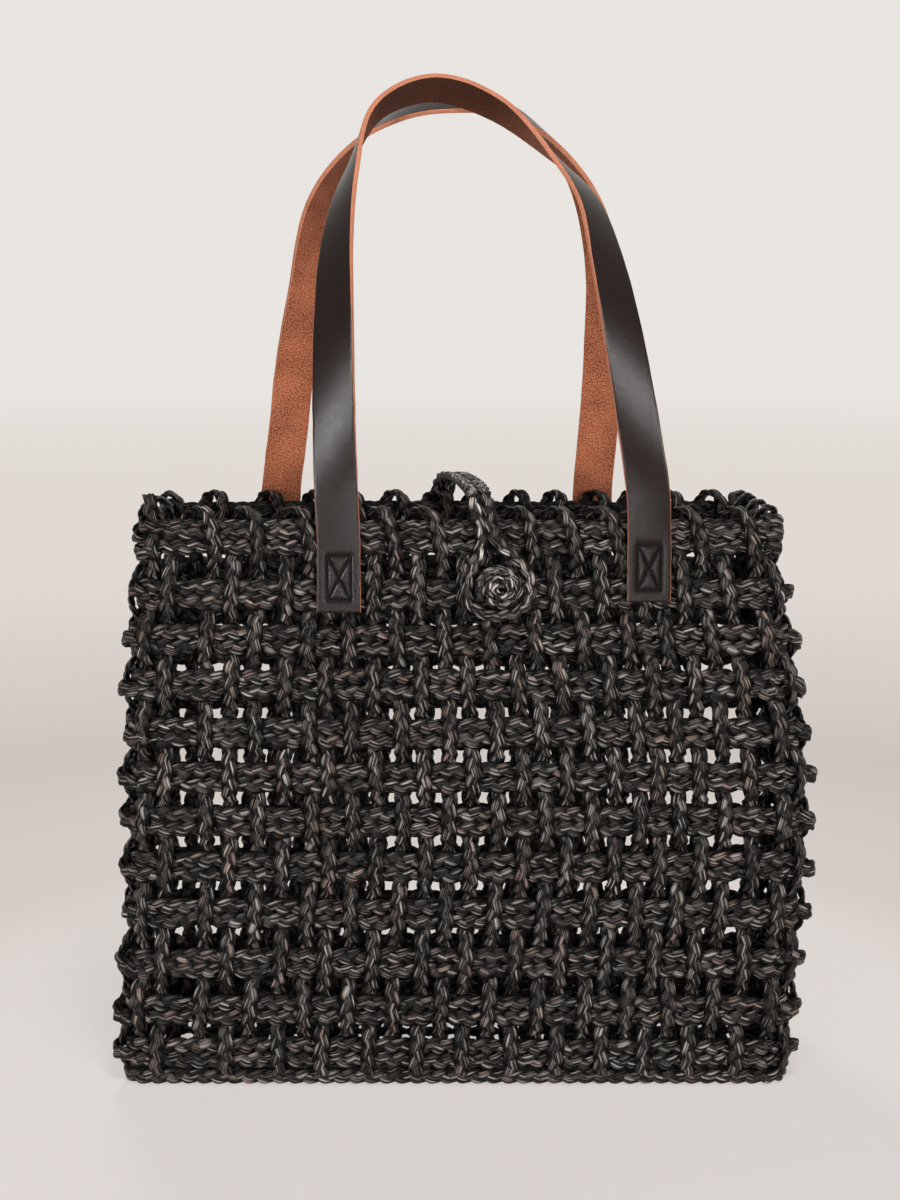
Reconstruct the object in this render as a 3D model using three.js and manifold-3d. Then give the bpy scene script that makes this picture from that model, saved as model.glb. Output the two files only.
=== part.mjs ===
// Woven grass tote bag with two leather strap handles and a braided loop that hooks over a
// coiled button. Millimetres, +Z up. The bag stands on z = 0 with its front facing -Y.
// The walls are an open plain weave: upright braids run down the front, under the bottom and up
// the back, and level braids run round the bag as closed hoops.

import * as THREE from 'three';
import * as BufferGeometryUtils from 'three/addons/utils/BufferGeometryUtils.js';
import Module from 'manifold-3d';

const wasm = await Module();
wasm.setup();

// Fits
const fitGap = 0.35; // between pieces that lie on each other
const hingeGap = 0.6; // between the two halves of a strap where it bends

// Bag
const bagHalfWidth = 198; // to the middle of the weave, where the bag is widest
const bagHalfDepth = 52;
const widestHeight = 150;
const rimNarrowing = 15.5; // how much the half width draws in at the top row
const footNarrowing = 2.5;
const cornerRadius = 12;
const cornerSteps = 3;
const topRowHeight = 325; // middle of the top row
const topRowGap = 32; // from the top row down to the second, wider than between the rest
const footClearance = 1.85; // between the floor strands and the lowest row

// Level braids, each row a flat pair
const rowCount = 12;
const weftHeight = 18;
const weftThickness = 4.5;
const weftEdge = 1; // height over which an edge tapers
const rimBraidHeight = 6.6;

// Upright braids
const warpCount = 26;
const warpShift = 11.8; // the upright braids sit right of centre
const cornerReach = 2.8; // how far the last braid lies round the corner
const firstGap = 10; // how much wider the space after the first braid is than between the rest
const braidWidth = 9;
const braidThickness = 4;
const sideCount = 4;
const sideInset = 5.5; // from the corner's start to the edge of the last side strand
const floorPlateau = 5.4; // half the level stretch where a braid passes a floor strand
const floorTurn = 6; // from the wall to where a braid starts to rise to the first floor strand

// Ends of the upright braids at the rim
const loopRise = 6; // from the rim braid to the middle of a loop
const loopHalfSpan = 2;
const loopSlant = 3.3; // sideways lean of a loop
const tailLength = 24;
const stubRise = 3; // how far an inner end stands past the top row

// Leather straps
const strapWidth = 25;
const strapThickness = 3;
const strapEndLength = { left: 40, right: 34 };
const hingeDrop = 1; // hinge line below the middle of the top row
const strapRunIn = 28; // straight stretch above the hinge line
const apexLean = 46.5; // how far the middle of a handle leans in over the mouth
const legTwist = 45; // degrees, spread along the strap
const apexTwist = 75; // degrees more near the top
const apexSharpness = 6;
const strapSteps = 28;

// Handle routes as [x, height over the hinge line], left to right as seen from the front, for a bag
// of routeHalfWidth
const routeHalfWidth = 198;
const frontRoute = [
  [-71.5, 0], [-72.8, 29], [-73.9, 73], [-73.8, 126], [-72, 173], [-66, 209], [-49.9, 250],
  [-17.7, 264], [19.6, 252], [52.6, 222], [71.6, 197], [82.8, 158], [93.3, 106], [102.6, 53], [106.3, 27], [107, 0],
];
const backRoute = [
  [-117.2, 0], [-115.8, 22], [-111, 60], [-107.3, 95], [-98.8, 147], [-89, 202], [-66.1, 236], [-35.8, 254],
  [-7.8, 259], [25.1, 256], [50.4, 240], [71.2, 205], [82, 162], [86.4, 106], [86.3, 56], [84.3, 22], [83.8, 0],
];

// Stitching
const stitchWidth = 13.5;
const stitchHeight = 26;
const stitchUp = 7; // above the lower end of the strap
const threadThickness = 1.1;
const threadHole = 1.9;

// Closure
const closureSideGap = 1.3; // to the braids either side of its root
const closureThickness = 4.5;
const closureRootLength = 33;
const closureRootRise = 16; // above the top row's middle
const closureArch = 10; // rise of the strap over its ends
const closureTurn = 8; // reach of the bends at its two ends
const closureLean = 1.5; // sideways step of the strap in each bend
const closureDrop = 5; // from the top of the front bend to the loop
const closureSteps = 16;
const closureWarp = 11; // its root lies over this braid, where the braid is inside the top row
const eyeStrand = 4.5;
const eyeHalfWidth = 22;
const eyeShift = 2; // middle of the eye left of the button
const eyeShoulderEase = 14; // reaches of the curves that draw the eye
const eyeSideEase = 12;
const eyeNeckEase = 6;
const eyeSplitFlare = 3;
const eyeSplitDrop = 1; // from the end of the neck to where the braid parts
const eyeChamfer = 1;
const eyeCurveSteps = 5;
const neckLength = 19;
const neckShift = 8; // middle of the neck left of the button
const buttonRow = 2;
const buttonWarp = 13; // the button sits between this braid and the next
const buttonOffset = -2.7; // button centre from the middle between the two braids
const buttonRise = 5; // above the middle of its row
const buttonStandOff = 3.55; // coil from the outer face of the weave
const coilStrand = 4.2;
const coilPitch = 4.5;
const coilRadius = 11.6; // middle of the outer turn
const coilInnerRadius = 1.6;
const coilStepsPerTurn = 12;
const coilSides = 6;
const coilGap = 1.6; // between coil and eye at the bottom
const shankDiameter = 5;
const shankSides = 10;

const weldTolerance = 1e-4; // vertices closer than this are one

// Heights and offsets that follow
const weaveOffset = (weftThickness + braidThickness) / 2 + fitGap;
const floorOffset = braidThickness + fitGap;
const floorStrandZ = braidThickness / 2 + floorOffset;
const footRowZ = floorStrandZ + braidThickness / 2 + footClearance + weftHeight / 2;
const rowPitch = (topRowHeight - topRowGap - footRowZ) / (rowCount - 2);
const rimBraidZ = topRowHeight + weftHeight / 2 + hingeGap + rimBraidHeight / 2;
const rimTop = rimBraidZ + rimBraidHeight / 2;
const loopZ = rimTop + loopRise;
const weaveFace = bagHalfDepth + weaveOffset + braidThickness / 2;
const strapPlane = weaveFace + fitGap + strapThickness / 2;
const hingeZ = topRowHeight - hingeDrop;
const warpReach = bagHalfWidth - cornerRadius + cornerReach - braidWidth / 2 - warpShift;
const warpPitch = (2 * warpReach) / (warpCount - 1);
const sideReach = bagHalfDepth - cornerRadius - braidWidth / 2 - sideInset;
const sidePitch = (2 * sideReach) / (sideCount - 1);
const closureWidth = (2 * warpPitch * (bagHalfWidth - rimNarrowing)) / bagHalfWidth - braidWidth - 2 * closureSideGap;

// Materials
const grass = new THREE.MeshStandardMaterial({ color: 0x2b2726, roughness: 0.62, metalness: 0 });
const grassEnds = new THREE.MeshStandardMaterial({ color: 0x332d2a, roughness: 0.66, metalness: 0 });
const leather = new THREE.MeshStandardMaterial({ color: 0x2c2526, roughness: 0.45, metalness: 0 });
const thread = new THREE.MeshStandardMaterial({ color: 0x161415, roughness: 0.7, metalness: 0 });

const X = new THREE.Vector3(1, 0, 0);
const Y = new THREE.Vector3(0, 1, 0);
const FRONT = -1;
const BACK = 1;

const bag = new THREE.Group();

function addPiece(name, geometry, material) {
  const mesh = new THREE.Mesh(geometry, material);
  mesh.name = name;
  bag.add(mesh);
  return mesh;
}

// Solids: joining and cutting

function toSolid(geometry) {
  const bare = geometry.index ? geometry.toNonIndexed() : geometry.clone();
  bare.deleteAttribute('normal');
  bare.deleteAttribute('uv');
  const merged = BufferGeometryUtils.mergeVertices(bare, weldTolerance);
  return new wasm.Manifold(new wasm.Mesh({
    numProp: 3,
    vertProperties: Float32Array.from(merged.attributes.position.array),
    triVerts: Uint32Array.from(merged.index.array),
  }));
}

function toGeometry(solid) {
  const { vertProperties, triVerts } = solid.getMesh();
  const geometry = new THREE.BufferGeometry();
  geometry.setAttribute('position', new THREE.BufferAttribute(Float32Array.from(vertProperties), 3));
  geometry.setIndex(Array.from(triVerts));
  geometry.computeVertexNormals();
  return geometry;
}

function barGeometry(width, depth, height, x, y, z, turn = 0) {
  return new THREE.BoxGeometry(width, depth, height).rotateY(turn).translate(x, y, z);
}

// Sweeps

// A path of corner points that carries its own section axes, so that a flat braid keeps its width
// across one direction and its full thickness round every bend.
class StationPath extends THREE.Curve {
  constructor(stations) {
    super();
    this.stations = stations;
  }

  getPoint(t) {
    return this.stations[Math.round(t * (this.stations.length - 1))].point.clone();
  }

  getUtoTmapping(u) {
    return u;
  }

  computeFrenetFrames() {
    return {
      tangents: this.stations.map((station) => station.tangent),
      normals: this.stations.map((station) => station.normal),
      binormals: this.stations.map((station) => station.binormal),
    };
  }
}

function rectangle(thickness, width) {
  const t = thickness / 2;
  const w = width / 2;
  return new THREE.Shape([[-t, -w], [t, -w], [t, w], [-t, w]].map(([x, y]) => new THREE.Vector2(x, y)));
}

function sweep(stations, section) {
  return new THREE.ExtrudeGeometry(section, {
    steps: stations.length - 1,
    bevelEnabled: false,
    extrudePath: new StationPath(stations),
  });
}

// Stations of a flat strand through corner points: its width lies along `across`, and each bend
// is mitred.
function flatStations(points, across) {
  const legs = points.slice(1).map((point, i) => point.clone().sub(points[i]).normalize());
  const faces = legs.map((leg) => across.clone().cross(leg).normalize());
  return points.map((point, i) => {
    const before = faces[Math.max(i - 1, 0)];
    const after = faces[Math.min(i, faces.length - 1)];
    const mitre = before.clone().add(after).divideScalar(1 + before.dot(after));
    return { point, tangent: legs[Math.min(i, legs.length - 1)], normal: mitre, binormal: across };
  });
}

function flatStrand(points, across, thickness, width) {
  return sweep(flatStations(points, across), rectangle(thickness, width));
}

// The bag's plan

function halfWidthAt(z) {
  const up = Math.max(Math.min(z, topRowHeight) - widestHeight, 0) / (topRowHeight - widestHeight);
  const down = Math.max(widestHeight - z, 0) / widestHeight;
  return bagHalfWidth - rimNarrowing * up ** 2 - footNarrowing * down ** 2;
}

function spreadAt(z) {
  return halfWidthAt(z) / bagHalfWidth;
}

function rowZ(row) {
  return row === 1 ? topRowHeight : topRowHeight - topRowGap - (row - 2) * rowPitch;
}

// Outline of the middle of the weave, counter-clockwise, with its outward normals.
function planOutline(halfWidth) {
  const outline = [];
  [[1, 1], [-1, 1], [-1, -1], [1, -1]].forEach(([sx, sy], corner) => {
    for (let step = 0; step <= cornerSteps; step += 1) {
      const angle = (corner + step / cornerSteps) * (Math.PI / 2);
      const out = new THREE.Vector2(Math.cos(angle), Math.sin(angle));
      const centre = new THREE.Vector2(sx * (halfWidth - cornerRadius), sy * (bagHalfDepth - cornerRadius));
      outline.push({ point: centre.addScaledVector(out, cornerRadius), out });
    }
  });
  return outline;
}

// Distance of the front or back wall from the middle plane at x, along the facets of the corner.
function wallDepthAt(x, halfWidth) {
  const along = Math.abs(x) - (halfWidth - cornerRadius);
  let depth = bagHalfDepth;
  for (let step = 0; step < cornerSteps; step += 1) {
    const from = ((step / cornerSteps) * Math.PI) / 2;
    const to = (((step + 1) / cornerSteps) * Math.PI) / 2;
    const [x0, x1] = [Math.sin(from) * cornerRadius, Math.sin(to) * cornerRadius];
    const slope = (Math.cos(to) - Math.cos(from)) * cornerRadius / (x1 - x0);
    depth += slope * Math.min(Math.max(along - x0, 0), x1 - x0);
  }
  return depth;
}

// A closed flat hoop: a section turned about the vertical axis, then drawn out from the circle to
// the bag's plan.
function hoopGeometry(z, height, thickness) {
  const outline = planOutline(halfWidthAt(z));
  const [t, top] = [thickness / 2, height / 2];
  const section = [
    [0, -top], [t, weftEdge - top], [t, top - weftEdge], [0, top], [-t, top - weftEdge], [-t, weftEdge - top],
    [0, -top],
  ];
  const round = bagHalfDepth;
  const profile = section.map(([out, up]) => new THREE.Vector2(round + out, up));
  const hoop = new THREE.LatheGeometry(profile, outline.length);
  const position = hoop.attributes.position;
  for (let i = 0; i < position.count; i += 1) {
    const turn = Math.floor(i / profile.length);
    const place = profile[i % profile.length];
    const { point, out } = outline[turn % outline.length];
    const reach = place.x - round;
    position.setXYZ(i, point.x + out.x * reach, point.y + out.y * reach, z + place.y);
  }
  return hoop;
}

// Upright strands

// Corner points of one wall, from its end at the rim down to the lowest row, as distance out from
// the bag's middle, height, and sideways lean.
function wallPoints(spanAt, isOutside, lean) {
  const points = [];
  const top = spanAt(1, isOutside(1));
  if (isOutside(1)) {
    const shoulder = loopZ - braidThickness / 2 - fitGap - loopHalfSpan;
    const tail = spanAt(1, false) - weaveOffset;
    points.push([tail, rimTop - tailLength, lean]);
    points.push([tail, shoulder, lean]);
    points.push([top - loopHalfSpan, loopZ, lean]);
    points.push([top + loopHalfSpan, loopZ, lean]);
    points.push([top + weaveOffset, shoulder, lean]);
  } else {
    points.push([top - weaveOffset, topRowHeight + weftHeight / 2 + stubRise, 0]);
  }
  for (let row = 1; row <= rowCount; row += 1) {
    const outside = isOutside(row);
    const out = spanAt(row, outside) + (outside ? weaveOffset : -weaveOffset);
    if (row > 1) points.push([out, rowZ(row) + weftHeight / 2, 0]);
    points.push([out, rowZ(row) - weftHeight / 2, 0]);
  }
  return points;
}

function warpX(index) {
  const even = warpShift + (index - (warpCount - 1) / 2) * warpPitch;
  return index === 0 ? even - firstGap : even;
}

function sideY(index) {
  return (index - (sideCount - 1) / 2) * sidePitch;
}

// True where warp `index` lies outside the crossing counted from the front rim, under the bottom
// and up to the back rim.
function warpIsOutside(index, crossing) {
  return (index + crossing) % 2 === 0;
}

// How a warp leaves the lowest row for the bottom: an outer braid turns under the row, an inner
// one drops straight to the first floor strand.
function warpFoot(points, outside) {
  if (!outside) return points;
  const [out, z] = points[points.length - 1];
  const cut = z - floorStrandZ;
  return [...points, [out - cut, floorStrandZ, 0], [bagHalfDepth - floorTurn, floorStrandZ, 0]];
}

function warpGeometry(index) {
  const base = warpX(index);
  const spanAt = (row, outside) => {
    const edge = braidWidth / 2 + (row === 1 ? loopSlant : 0);
    const x = Math.abs(base) * spreadAt(rowZ(row)) + (outside ? -edge : edge);
    return wallDepthAt(x, halfWidthAt(rowZ(row)));
  };
  const backStart = rowCount + sideCount + 1;
  const frontOutside = (row) => warpIsOutside(index, row);
  const backOutside = (row) => warpIsOutside(index, backStart + rowCount - row);
  const front = warpFoot(wallPoints(spanAt, frontOutside, -loopSlant), frontOutside(rowCount));
  const back = warpFoot(wallPoints(spanAt, backOutside, loopSlant), backOutside(rowCount));
  const floor = [];
  for (let strand = 0; strand < sideCount; strand += 1) {
    const below = warpIsOutside(index, rowCount + 1 + strand);
    const z = floorStrandZ + (below ? -floorOffset : floorOffset);
    floor.push([sideY(strand) - floorPlateau, z, 0], [sideY(strand) + floorPlateau, z, 0]);
  }
  const route = [
    ...front.map(([out, z, lean]) => [FRONT * out, z, lean]),
    ...floor,
    ...back.reverse().map(([out, z, lean]) => [BACK * out, z, lean]),
  ];
  const points = route.map(([y, z, lean]) => new THREE.Vector3(base * spreadAt(z) + lean, y, z));
  return flatStrand(points, X, braidThickness, braidWidth);
}

function sideStrandGeometry(index) {
  const spanAt = (row) => halfWidthAt(rowZ(row));
  const corner = (points) => {
    const [out, z] = points[points.length - 1];
    return [...points, [out - (z - floorStrandZ), floorStrandZ, 0]];
  };
  const left = corner(wallPoints(spanAt, (row) => (row + index) % 2 === 1, 0));
  const right = corner(wallPoints(spanAt, (row) => (row + index) % 2 === 0, 0));
  const route = [...left.map(([out, z]) => [-out, z]), ...right.reverse().map(([out, z]) => [out, z])];
  const points = route.map(([x, z]) => new THREE.Vector3(x, sideY(index), z));
  return flatStrand(points, Y, braidThickness, braidWidth);
}

function addWeave() {
  for (let row = 1; row <= rowCount; row += 1) {
    addPiece(`weft_row_${String(row).padStart(2, '0')}`, hoopGeometry(rowZ(row), weftHeight, weftThickness), grass);
  }
  addPiece('rim_braid', hoopGeometry(rimBraidZ, rimBraidHeight, weftThickness), grass);
  for (let index = 0; index < warpCount; index += 1) {
    addPiece(`warp_${String(index + 1).padStart(2, '0')}`, warpGeometry(index), grass);
  }
  for (let index = 0; index < sideCount; index += 1) {
    addPiece(`side_strand_${index + 1}`, sideStrandGeometry(index), grass);
  }
}

// Leather handles

// A handle's stretch above the hinge line: the strap leaves the legs face out, then turns over and
// leans in towards the middle of the bag.
function handleGeometry(route, side) {
  const path = new THREE.CatmullRomCurve3(
    route.map(([x, up]) => new THREE.Vector3(x, 0, hingeZ + hingeGap / 2 + up)),
    false,
    'centripetal',
  );
  const length = path.getLength();
  const runIn = strapRunIn / length;
  const marks = [0, ...Array.from({ length: strapSteps + 1 }, (_, i) => runIn + (1 - 2 * runIn) * (i / strapSteps)), 1];
  const faceOut = Y.clone().multiplyScalar(side);
  const centres = marks.map((mark) => {
    const turn = Math.sin(Math.PI * Math.min(Math.max((mark - runIn) / (1 - 2 * runIn), 0), 1));
    const crown = turn ** apexSharpness;
    const point = path.getPointAt(mark);
    point.y = side * (strapPlane - apexLean * crown);
    return { point, twist: THREE.MathUtils.degToRad(legTwist * turn + apexTwist * crown) };
  });
  const stations = centres.map(({ point, twist }, i) => {
    const before = centres[Math.max(i - 1, 0)].point;
    const after = centres[Math.min(i + 1, centres.length - 1)].point;
    const atEnd = i === 0 || i === centres.length - 1;
    const tangent = after.clone().sub(before).normalize();
    if (atEnd) tangent.set(0, 0, Math.sign(tangent.z));
    const face = faceOut.clone().addScaledVector(tangent, -faceOut.dot(tangent)).normalize();
    const outward = face.clone().cross(tangent);
    const normal = face.clone().multiplyScalar(Math.cos(twist)).addScaledVector(outward, Math.sin(twist));
    return { point, tangent, normal, binormal: tangent.clone().cross(normal) };
  });
  return sweep(stations, rectangle(strapThickness, strapWidth));
}

// The sewn end of a strap, with a punched hole for each corner of its stitching.
function strapEndGeometry(x, length, side) {
  const top = hingeZ - hingeGap / 2;
  let solid = toSolid(barGeometry(strapWidth, strapThickness, length, x, side * strapPlane, top - length / 2));
  stitchCorners(x, top - length).forEach(([cx, cz]) => {
    const hole = barGeometry(threadHole, strapThickness * 2, threadHole, cx, side * strapPlane, cz);
    solid = solid.subtract(toSolid(hole));
  });
  return toGeometry(solid);
}

function stitchCorners(x, strapBottom) {
  const low = strapBottom + stitchUp;
  const half = stitchWidth / 2;
  return [[x - half, low], [x + half, low], [x - half, low + stitchHeight], [x + half, low + stitchHeight]];
}

// Box stitch with a cross: threads on the face of the strap, and one leg down each corner hole.
function stitchGeometry(x, length, side) {
  const bottom = hingeZ - hingeGap / 2 - length;
  const face = side * (strapPlane + strapThickness / 2 + fitGap + threadThickness / 2);
  const middle = bottom + stitchUp + stitchHeight / 2;
  const diagonal = Math.hypot(stitchWidth, stitchHeight);
  const lean = Math.atan2(stitchWidth, stitchHeight);
  const t = threadThickness;
  const bars = [
    barGeometry(t, t, stitchHeight + t, x - stitchWidth / 2, face, middle),
    barGeometry(t, t, stitchHeight + t, x + stitchWidth / 2, face, middle),
    barGeometry(stitchWidth, t, t, x, face, middle - stitchHeight / 2),
    barGeometry(stitchWidth, t, t, x, face, middle + stitchHeight / 2),
    barGeometry(t, t, diagonal, x, face, middle, lean),
    barGeometry(t, t, diagonal, x, face, middle, -lean),
  ];
  const legEnd = side * (strapPlane - strapThickness / 2 + fitGap);
  stitchCorners(x, bottom).forEach(([cx, cz]) => {
    bars.push(barGeometry(t, Math.abs(face - legEnd), t, cx, (face + legEnd) / 2, cz));
  });
  return toGeometry(bars.map(toSolid).reduce((sum, bar) => sum.add(bar)));
}

function addHandle(name, drawnRoute, side) {
  const route = drawnRoute.map(([x, up]) => [(x * bagHalfWidth) / routeHalfWidth, up]);
  const ends = {
    left: route[0][0],
    right: route[route.length - 1][0],
  };
  Object.entries(ends).forEach(([end, x]) => {
    addPiece(`${name}_${end}_end`, strapEndGeometry(x, strapEndLength[end], side), leather);
    addPiece(`${name}_${end}_stitch`, stitchGeometry(x, strapEndLength[end], side), thread);
  });
  const direction = side === FRONT ? route : [...route].reverse();
  addPiece(`${name}_strap`, handleGeometry(direction, side), leather);
}

// Closure

const buttonBetween = (warpX(buttonWarp) + warpX(buttonWarp + 1)) / 2;
const buttonX = buttonBetween * spreadAt(rowZ(buttonRow)) + buttonOffset;
const buttonZ = rowZ(buttonRow) + buttonRise;
const shankBase = bagHalfDepth + weftThickness / 2 + fitGap;
const coilPlane = weaveFace + buttonStandOff + fitGap + coilStrand / 2;
const shankHeight = coilPlane - coilStrand / 2 - fitGap - shankBase;
const eyeX = buttonX - eyeShift;
const eyeBottom = buttonZ - coilRadius - coilStrand / 2 - coilGap;
const rootY = bagHalfDepth + weftThickness / 2 + fitGap + closureThickness / 2;
const rootTop = topRowHeight + closureRootRise + weftHeight / 2;
const eyeTop = rootTop - closureDrop;
const neckX = buttonX - neckShift;
const rootLow = rootTop - closureRootLength;

function closureX(z) {
  return warpX(closureWarp) * spreadAt(z);
}

// The closure braid where it lies flat on the outside of the back wall, between two rim loops.
function closureRootGeometry() {
  const bend = topRowHeight - weftHeight / 2;
  const points = [
    [closureX(bend), rootLow],
    [closureX(rimTop) + loopSlant, rimTop],
    [closureX(rimTop) + loopSlant, rootTop - hingeGap / 2],
  ];
  const route = points.map(([x, z]) => new THREE.Vector3(x, rootY, z));
  return flatStrand(route, X, closureThickness, closureWidth);
}

// The closure braid from the back rim over the mouth to the front rim.
function closureStrapGeometry() {
  const start = new THREE.Vector3(closureX(rimTop) + loopSlant, rootY, rootTop + hingeGap / 2);
  const end = new THREE.Vector3(neckX, -coilPlane, eyeTop + hingeGap / 2);
  const rise = new THREE.Vector3(0, 0, closureThickness / 2);
  const arch = new THREE.CatmullRomCurve3([
    start.clone().add(rise),
    start.clone().add(new THREE.Vector3(closureLean, -closureTurn, closureTurn)),
    start.clone().lerp(end, 0.5).setZ(rootTop + closureArch),
    end.clone().add(new THREE.Vector3(-closureLean, closureTurn, rootTop + closureTurn - end.z)),
    end.clone().add(rise),
  ], false, 'centripetal');
  const route = [start, ...arch.getSpacedPoints(closureSteps), end];
  return flatStrand(route, X, closureThickness, closureWidth);
}

// Draws one side of the eye's outline after the other, from the left of the neck down round the
// button and up to the right of the neck.
function drawEye(path, halfWidth, low, neckHalf, neckZ, flare) {
  const share = halfWidth / eyeHalfWidth;
  const [left, right] = [eyeX - halfWidth, eyeX + halfWidth];
  const [neckLeft, neckRight] = [neckX - neckHalf, neckX + neckHalf];
  const ease = eyeSideEase * share;
  const below = neckZ - eyeNeckEase * share;
  const above = buttonZ + eyeShoulderEase * share;
  path.bezierCurveTo(neckLeft - flare, below, left, above, left, buttonZ);
  path.bezierCurveTo(left, buttonZ - ease, eyeX - ease, low, eyeX, low);
  path.bezierCurveTo(eyeX + ease, low, right, buttonZ - ease, right, buttonZ);
  path.bezierCurveTo(right, above, neckRight + flare, below, neckRight, neckZ);
}

// The eye: the braid parts round a hole that fits over the button. Its outline is drawn as seen
// from the front.
function closureLoopGeometry() {
  const neck = closureWidth / 2;
  const top = eyeTop - hingeGap / 2;
  const shoulder = top - neckLength;
  const outer = new THREE.Shape();
  outer.moveTo(neckX + neck, top);
  outer.lineTo(neckX - neck, top);
  outer.lineTo(neckX - neck, shoulder);
  drawEye(outer, eyeHalfWidth, eyeBottom - eyeStrand, neck, shoulder, 0);
  outer.closePath();
  const hole = new THREE.Path();
  hole.moveTo(neckX, shoulder - eyeSplitDrop);
  drawEye(hole, eyeHalfWidth - eyeStrand, eyeBottom, 0, shoulder - eyeSplitDrop, eyeSplitFlare);
  outer.holes.push(hole);
  const eye = new THREE.ExtrudeGeometry(outer, {
    depth: eyeStrand - 2 * eyeChamfer,
    bevelThickness: eyeChamfer,
    bevelSize: eyeChamfer,
    bevelOffset: -eyeChamfer,
    bevelSegments: 1,
    curveSegments: eyeCurveSteps,
  });
  return eye.translate(0, 0, eyeChamfer - eyeStrand / 2).rotateX(Math.PI / 2).translate(0, -coilPlane, 0);
}

// A flat spiral of round strand.
function buttonCoilGeometry() {
  const turns = (coilRadius - coilInnerRadius) / coilPitch;
  const steps = Math.round(turns * coilStepsPerTurn);
  const corners = Array.from({ length: coilSides }, (_, i) => {
    const angle = (i / coilSides) * Math.PI * 2;
    return new THREE.Vector2(Math.cos(angle), Math.sin(angle)).multiplyScalar(coilStrand / 2);
  });
  const ring = new THREE.Shape(corners);
  const stations = Array.from({ length: steps + 1 }, (_, i) => {
    const angle = (i / steps) * turns * Math.PI * 2;
    const radius = coilInnerRadius + (i / steps) * (coilRadius - coilInnerRadius);
    const out = new THREE.Vector3(Math.cos(angle), 0, Math.sin(angle));
    const tangent = new THREE.Vector3(-Math.sin(angle), 0, Math.cos(angle));
    const point = out.clone().multiplyScalar(radius).add(new THREE.Vector3(buttonX, -coilPlane, buttonZ));
    return { point, tangent, normal: out, binormal: tangent.clone().cross(out) };
  });
  return sweep(stations, ring);
}

function addClosure() {
  addPiece('closure_root', closureRootGeometry(), grassEnds);
  addPiece('closure_strap', closureStrapGeometry(), grassEnds);
  addPiece('closure_loop', closureLoopGeometry(), grassEnds);
  addPiece('button_coil', buttonCoilGeometry(), grassEnds);
  const shank = new THREE.CylinderGeometry(shankDiameter / 2, shankDiameter / 2, shankHeight, shankSides);
  const shankPiece = addPiece('button_shank', shank, grassEnds);
  shankPiece.position.set(buttonX, -(shankBase + shankHeight / 2), buttonZ);
}

addWeave();
addHandle('front_handle', frontRoute, FRONT);
addHandle('back_handle', backRoute, BACK);
addClosure();

export default bag;
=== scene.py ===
"""Looks of a woven grass tote bag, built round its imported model.

Every strand of the weave is a three-ply braid laid along the route of its solid. The straps are cut
leather with a grain face, a flesh face and raw edges, sewn on with waxed thread. Lengths are
millimetres, and a mesh is scaled to metres when it is made. Surface maps, bends and the studio
are in metres.
"""

from __future__ import annotations

import logging
import math
import random
from collections.abc import Callable, Sequence
from dataclasses import dataclass, field
from enum import Enum
from functools import lru_cache

import bmesh
import bpy
import numpy as np
from mathutils import Matrix, Vector


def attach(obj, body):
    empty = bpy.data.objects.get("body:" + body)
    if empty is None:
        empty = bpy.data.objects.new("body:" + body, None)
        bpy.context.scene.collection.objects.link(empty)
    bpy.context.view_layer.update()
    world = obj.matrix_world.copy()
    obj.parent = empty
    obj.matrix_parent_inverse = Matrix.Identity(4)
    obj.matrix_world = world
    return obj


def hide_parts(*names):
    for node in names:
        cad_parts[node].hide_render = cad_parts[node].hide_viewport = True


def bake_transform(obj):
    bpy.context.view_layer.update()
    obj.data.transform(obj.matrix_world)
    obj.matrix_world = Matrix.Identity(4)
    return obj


LOG = logging.getLogger("tote_bag")
MM = 0.001
TURN = 2 * math.pi
NUMBER, VECTOR = "NodeSocketFloat", "NodeSocketVector"


class Wall(Enum):
    """The two long walls, each with its direction along Y."""

    FRONT = -1
    BACK = 1


class Side(Enum):
    """Left and right of the bag, each with its direction along X."""

    LEFT = -1
    RIGHT = 1


Point = tuple[float, float, float]
Colour = tuple[float, float, float]
Span = tuple[float, float]
Knot = tuple[float, ...]
Reading = Callable[[np.ndarray], np.ndarray]


def add_object(name: str, data: bpy.types.ID) -> bpy.types.Object:
    """Puts a new object in the scene.

    Args:
        name: Its name.
        data: Its mesh, lamp or camera.

    Returns:
        The object, at the origin.
    """
    thing = bpy.data.objects.new(name, data)
    bpy.context.scene.collection.objects.link(thing)
    return thing


# Curves and noise along a line


def eased(
    at: np.ndarray, knots: Sequence[float], values: Sequence[float], period: float = 0.0
) -> np.ndarray:
    """Joins values at knots by smooth half waves.

    Args:
        at: Places at which the line is read.
        knots: Places of the values, in any order.
        values: One value for each knot.
        period: Length after which a closed line repeats, or 0 for an open one.

    Returns:
        The value at each place.
    """
    order = np.argsort(knots)
    place = np.asarray(knots, float)[order]
    value = np.asarray(values, float)[order]
    if period:
        place = np.concatenate([[place[-1] - period], place, [place[0] + period]])
        value = np.concatenate([value[-1:], value, value[:1]])
    left = np.clip(np.searchsorted(place, at, side="right") - 1, 0, len(place) - 2)
    share = np.clip((at - place[left]) / (place[left + 1] - place[left]), 0, 1)
    share = share * share * (3 - 2 * share)
    return value[left] + (value[left + 1] - value[left]) * share


def wander_round(draw: random.Random, total: float, count: int, amount: float) -> Reading:
    """Slow random wander round a closed line.

    Args:
        draw: Source of random numbers.
        total: Length of the line.
        count: How many independent values stand round it.
        amount: Largest value either way.

    Returns:
        A function that gives the wander at distances along the line.
    """
    values = [draw.uniform(-amount, amount) for _ in range(count)]
    places = [total * i / count for i in range(count)]
    return lambda at: eased(at, places, values, total)


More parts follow.
